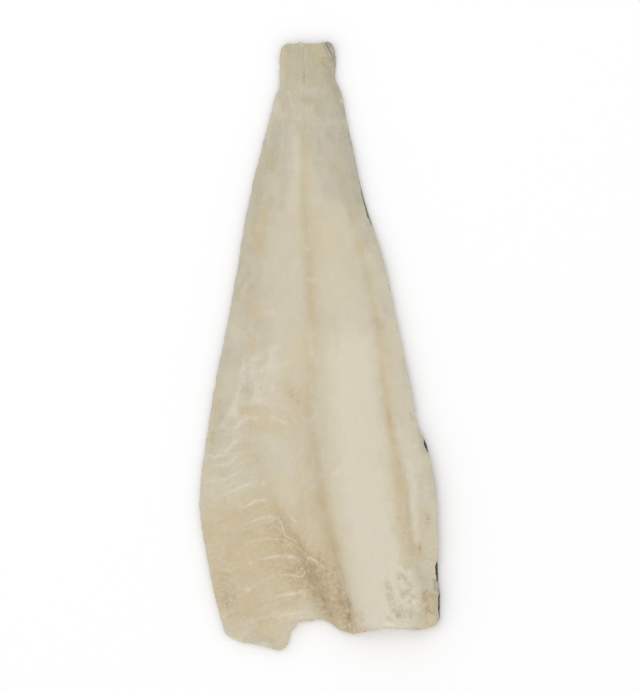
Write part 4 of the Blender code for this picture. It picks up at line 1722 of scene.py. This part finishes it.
        # Olive in the hollows of the torn lumps is olive colour and also painted shade, strongest where
        # the lumps sink lowest.
        masks[Tint.OLIVE_AND_SHADE] = np.clip(masks[Tint.OLIVE_AND_SHADE] - self.torn_olive_and_shade * np.minimum(torn, 0), 0, 1)
        for tint, flecks in FLECKS.items():
            halos = [membrane.halo() for membrane in MEMBRANES if membrane.tint is tint]
            masks[tint] = joined([*halos, *flecks], x, s)
        masks[Zone.GRITTY] = self.gritty(x, s)
        masks[Zone.RIBBED] = self.ribbed(x, s)
        masks[Zone.WRINKLED] = smooth_step(s, *self.wrinkle_streaks)
        return masks

    def build(self, finish: bpy.types.Material) -> bpy.types.Object:
        """Makes and dresses the flesh.

        Args:
            finish: The flesh's material.

        Returns:
            The object.
        """
        plan = Plan(self.columns, self.rows, FORM.back_margin, self.inset, self.seed, self.raggedness)
        x, s = plan.x, plan.station
        bed = FORM.underside(x, s) + FORM.skin_thickness
        thickness = plan.thickness()
        high = bed + FORM.skin_gap + thickness + self.relief(x, s, thickness)
        cut = smooth_step(ring_of(s), *self.cut_start) * smooth_step(ring_of(x), *self.cut_side)
        sheet = ClosedSheet(
            plan, bed + FORM.flesh_bed, high, self.wall_rings, self.wall_bulge, self.under_step,
            wall_slant=self.wall_slant + self.cut_slant * cut,
            wall_roughness=self.wall_roughness + self.cut_roughness * cut,
            masks=self.masks(x, s), wall_masks={Zone.CUT: cut},
        )
        made = sheet.build("flesh_dressed")
        made.data.materials.append(finish)
        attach(made, BODY)
        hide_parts("flesh")
        return made


# ------------------------------------------------------------------------- the skin


DARK_RIM: tuple[Stroke, ...] = marks(
    (((3.6, 0.8), (6, 0.4), (8.4, 2.2), (10.6, 4.5)), 0.9, 0.25),
    (((97.6, 463), (98, 466)), 1.4, 0.7),
)


@dataclass
class Skin:
    """The fish's own skin under the flesh, showing along the back edge and curled at the tail."""

    columns: tuple[int, int, int, int] = (32, 20, 26, 22)
    rows: int = 321
    inset: float = 0.6
    raggedness: float = 0.3
    seed: int = 71
    wall_rings: int = 3
    wall_bulge: float = 0.25
    paleness: Curve = Curve({
        0: 1, 60: 0.9, 112: 0.5, 160: 0.35, 200: 0.1, 440: 0, 446: 0.6, 452: 0.6, 456: 0.3, 470: 0.4,
        476: 0.6, 500: 0.7,
    })
    lateral: Curve = Curve({0: 0.5, 200: 0.52, 330: 0.6, 500: 0.66})
    lateral_width: float = 0.011
    pale_belly: Point = (0.62, 0.3)

    def build(self, finish: bpy.types.Material) -> bpy.types.Object:
        """Makes and dresses the skin.

        Args:
            finish: The skin's material.

        Returns:
            The object.
        """
        plan = Plan(self.columns, self.rows, NO_MARGIN, self.inset, self.seed, self.raggedness)
        x, s = plan.x, plan.station
        low = FORM.underside(x, s)
        belly, back = FORM.belly_edge.at(s), FORM.back_edge.at(s)
        across = (x - belly) / (back - belly)
        from_line = (across - self.lateral.at(s)) / self.lateral_width
        sheet = ClosedSheet(
            plan, low, low + FORM.skin_thickness, self.wall_rings, self.wall_bulge,
            masks={
                SkinZone.BELLY: smooth_step(across, *self.pale_belly),
                SkinZone.LATERAL: np.exp(-(from_line**2)),
                SkinZone.RIM: joined(DARK_RIM, x, s),
            },
            top_masks={SkinZone.INSIDE: self.paleness.at(s)},
        )
        made = sheet.build("skin_dressed")
        made.data.materials.append(finish)
        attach(made, BODY)
        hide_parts("skin")
        return made


# ------------------------------------------------------------------------- the membranes


def smooth_route(points: Sequence[Point], spacing: float, least: int = 4) -> Array:
    """Points along a smooth curve through a route.

    Args:
        points: The route.
        spacing: How far apart the new points are.
        least: How many new points there are at least.

    Returns:
        The x and station of each new point.
    """
    route = np.array(points, float)
    legs = np.linalg.norm(np.diff(route, axis=0), axis=1)
    run = np.concatenate([[0.0], np.cumsum(legs)])
    at = np.linspace(0, run[-1], max(least, int(run[-1] / spacing) + 1))
    if len(points) < 3:
        return np.stack([np.interp(at, run, values) for values in route.T], axis=1)
    curves = [Curve(dict(zip(run.tolist(), values.tolist()))) for values in route.T]
    return np.stack([curve.at(at) for curve in curves], axis=1)


@dataclass(frozen=True)
class Unevenness:
    """How one measure of the membranes varies along each of them."""

    strength: float
    length: float
    row_step: float
    first_row: float = 0.0

    def along(self, run: Array, number: int, grain: Grain) -> Array:
        """How much a measure changes at each distance along one membrane, by its number."""
        return self.strength * grain.layered(run / self.length, number * self.row_step + self.first_row)


@dataclass
class Membranes:
    """The fine membranes of the belly flap: thin closed bands that fade into the flesh.

    Each point of the section gives how far it lies to the side, in half widths, how high it lies
    and how white it is. Points with a negative height are sunk in the flesh.
    """

    spacing: float = 0.7
    sunk: float = 0.25
    tip: float = 0.01
    tip_width: float = 0.35
    most_white: float = 1.2
    seed: int = 91
    width: Unevenness = Unevenness(0.35, length=3.2, row_step=3.7)
    white: Unevenness = Unevenness(0.5, length=5.0, row_step=2.3, first_row=40)
    sway: Unevenness = Unevenness(0.45, length=4.4, row_step=5.1, first_row=0.5)
    section: tuple[Triple, ...] = (
        (-1.0, -1.0, 0.0), (-0.65, 0.15, 0.25), (-0.3, 0.75, 0.7), (0.0, 1.0, 0.9),
        (0.3, 0.75, 0.7), (0.65, 0.15, 0.25), (1.0, -1.0, 0.0),
    )

    def build(self, flesh: Flesh, below: bpy.types.Object, finish: bpy.types.Material) -> bpy.types.Object:
        """Makes and dresses the membranes.

        Args:
            flesh: How the flesh below is coloured.
            below: The flesh's object, on which they lie.
            finish: The flesh's material.

        Returns:
            The object.
        """
        tree, grain = surface_of(below), Grain(self.seed)
        points: list[Triple] = []
        faces: list[list[int]] = []
        whites: dict[Tint, list[float]] = {tint: [] for tint in FLECKS}
        for number, membrane in enumerate(MEMBRANES):
            band = self._band(membrane, number, tree, grain)
            faces += self._faces(len(points), len(band) // len(self.section))
            points += [place for place, _ in band]
            for tint, values in whites.items():
                values += [white if tint is membrane.tint else 0.0 for _, white in band]
        places = np.array(points)
        masks = flesh.masks(places[:, 0], FORM.length / 2 - places[:, 1])
        for tint, values in whites.items():
            masks[tint] = 1 - (1 - masks[tint]) * (1 - np.array(values))
        made = smooth_object("membranes", places, faces, masks)
        made.data.materials.append(finish)
        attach(made, BODY)
        return made

    def _band(
        self, membrane: Membrane, number: int, tree: BVHTree, grain: Grain
    ) -> list[tuple[Triple, float]]:
        """Lays out one membrane's points.

        Args:
            membrane: Its route and size.
            number: Picks its unevenness.
            tree: The surface that it lies on.
            grain: The noise for its unevenness.

        Returns:
            Each point's place and how white it is.
        """
        path = smooth_route(membrane.route, self.spacing)
        ahead = np.gradient(path, axis=0)
        ahead /= np.maximum(np.linalg.norm(ahead, axis=1, keepdims=True), TINY)
        side = np.stack([-ahead[:, 1], ahead[:, 0]], axis=1)
        run = np.arange(len(path)) * self.spacing
        share = np.clip(np.linspace(0, 1, len(path)), self.tip, 1 - self.tip)
        taper = np.sqrt(np.sin(np.pi * share))
        half = membrane.width * (self.tip_width + (1 - self.tip_width) * taper)
        half *= 1 + self.width.along(run, number, grain)
        white = membrane.strength * taper
        white *= np.clip(1 + self.white.along(run, number, grain), 0, self.most_white)
        path += side * self.sway.along(run, number, grain)[:, None]
        band = []
        for place, across, width, bright in zip(path, side, half, white):
            for offset, rise, shown in self.section:
                x, station = place + across * offset * width
                top = height_on(tree, x, station) or 0.0
                lift = rise * (self.sunk if rise < 0 else membrane.lift)
                band.append(((x, FORM.length / 2 - station, top + lift), min(1.0, bright * shown)))
        return band

    def _faces(self, first: int, sections: int) -> list[list[int]]:
        """The faces of one closed band of so many sections, from the number of its first point."""
        rings = first + np.arange(sections * len(self.section)).reshape(sections, -1)
        return [*faces_between(rings), rings[0, ::-1].tolist(), rings[-1].tolist()]


# ------------------------------------------------------------------------- the studio and main


@dataclass
class Studio:
    """A pale floor, soft light from above and from the left, and a camera straight above."""

    frame_over_length: float = 1.1365
    camera_height: float = 6.0
    sensor: float = 36.0
    floor_width: float = 8.0
    floor_drop: float = 0.0004
    floor_tone: float = 0.97
    floor_roughness: float = 0.9
    floor_specular: float = 0.1
    world_strength: float = 0.94
    key_power: float = 7.5
    key_size: float = 1.6
    key_place: Triple = (-0.5, 0.5, 2.6)

    def build(self) -> None:
        """Makes the floor, the lights and the camera."""
        self._floor()
        self._world()
        self._key()
        self._camera()
        bpy.context.scene.view_settings.view_transform = "Standard"

    def _floor(self) -> None:
        """Makes the floor."""
        half = self.floor_width / 2
        corners = [(-half, -half), (half, -half), (half, half), (-half, half)]
        mesh = bpy.data.meshes.new("floor")
        mesh.from_pydata([(x, y, -self.floor_drop) for x, y in corners], [], [(0, 1, 2, 3)])
        material, nodes, shader = new_material("pale_floor")
        nodes.feed(shader, {
            "Base Color": (self.floor_tone, self.floor_tone, self.floor_tone, 1.0),
            "Roughness": self.floor_roughness,
            "Specular IOR Level": self.floor_specular,
        })
        mesh.materials.append(material)
        added("floor", mesh)

    def _world(self) -> None:
        """Makes the even light all round."""
        world = bpy.data.worlds.new("studio")
        world.use_nodes = True
        sky = {"Color": (1.0, 1.0, 1.0, 1.0), "Strength": self.world_strength}
        Nodes(world.node_tree).feed(world.node_tree.nodes["Background"], sky)
        bpy.context.scene.world = world

    def _key(self) -> None:
        """Makes the soft key light, which points at the middle of the fillet."""
        data = bpy.data.lights.new("key", "AREA")
        data.shape = "DISK"
        data.size = self.key_size
        data.energy = self.key_power
        key = added("key", data)
        key.location = self.key_place
        key.rotation_mode = "QUATERNION"
        key.rotation_quaternion = (-Vector(self.key_place)).to_track_quat("-Z", "Y")
        key.visible_camera = False

    def _camera(self) -> None:
        """Makes the camera, which looks straight down and takes in the whole length."""
        low, high = CAD_BOX
        data = bpy.data.cameras.new("camera")
        data.sensor_width = self.sensor
        data.lens = self.sensor * self.camera_height / ((high.y - low.y) * self.frame_over_length)
        camera = added("camera", data)
        centre = (low + high) / 2
        camera.location = (centre.x, centre.y, self.camera_height)
        bpy.context.scene.camera = camera


def report(piece: bpy.types.Object) -> None:
    """Logs a piece's name and how many faces it has."""
    LOG.info("%s has %d faces", piece.name, len(piece.data.polygons))


def main() -> None:
    """Builds the sub-assemblies in order and reports each piece."""
    logging.basicConfig(level=logging.INFO, format="%(name)s: %(message)s")
    groups = SharedGroups()
    dried_flesh = FleshFinish().make(groups)
    flesh = Flesh()
    dressed = flesh.build(dried_flesh)
    report(dressed)
    report(Skin().build(SkinFinish().make(groups)))
    report(Membranes().build(flesh, dressed, dried_flesh))
    Studio().build()


if __name__ == "__main__":
    main()
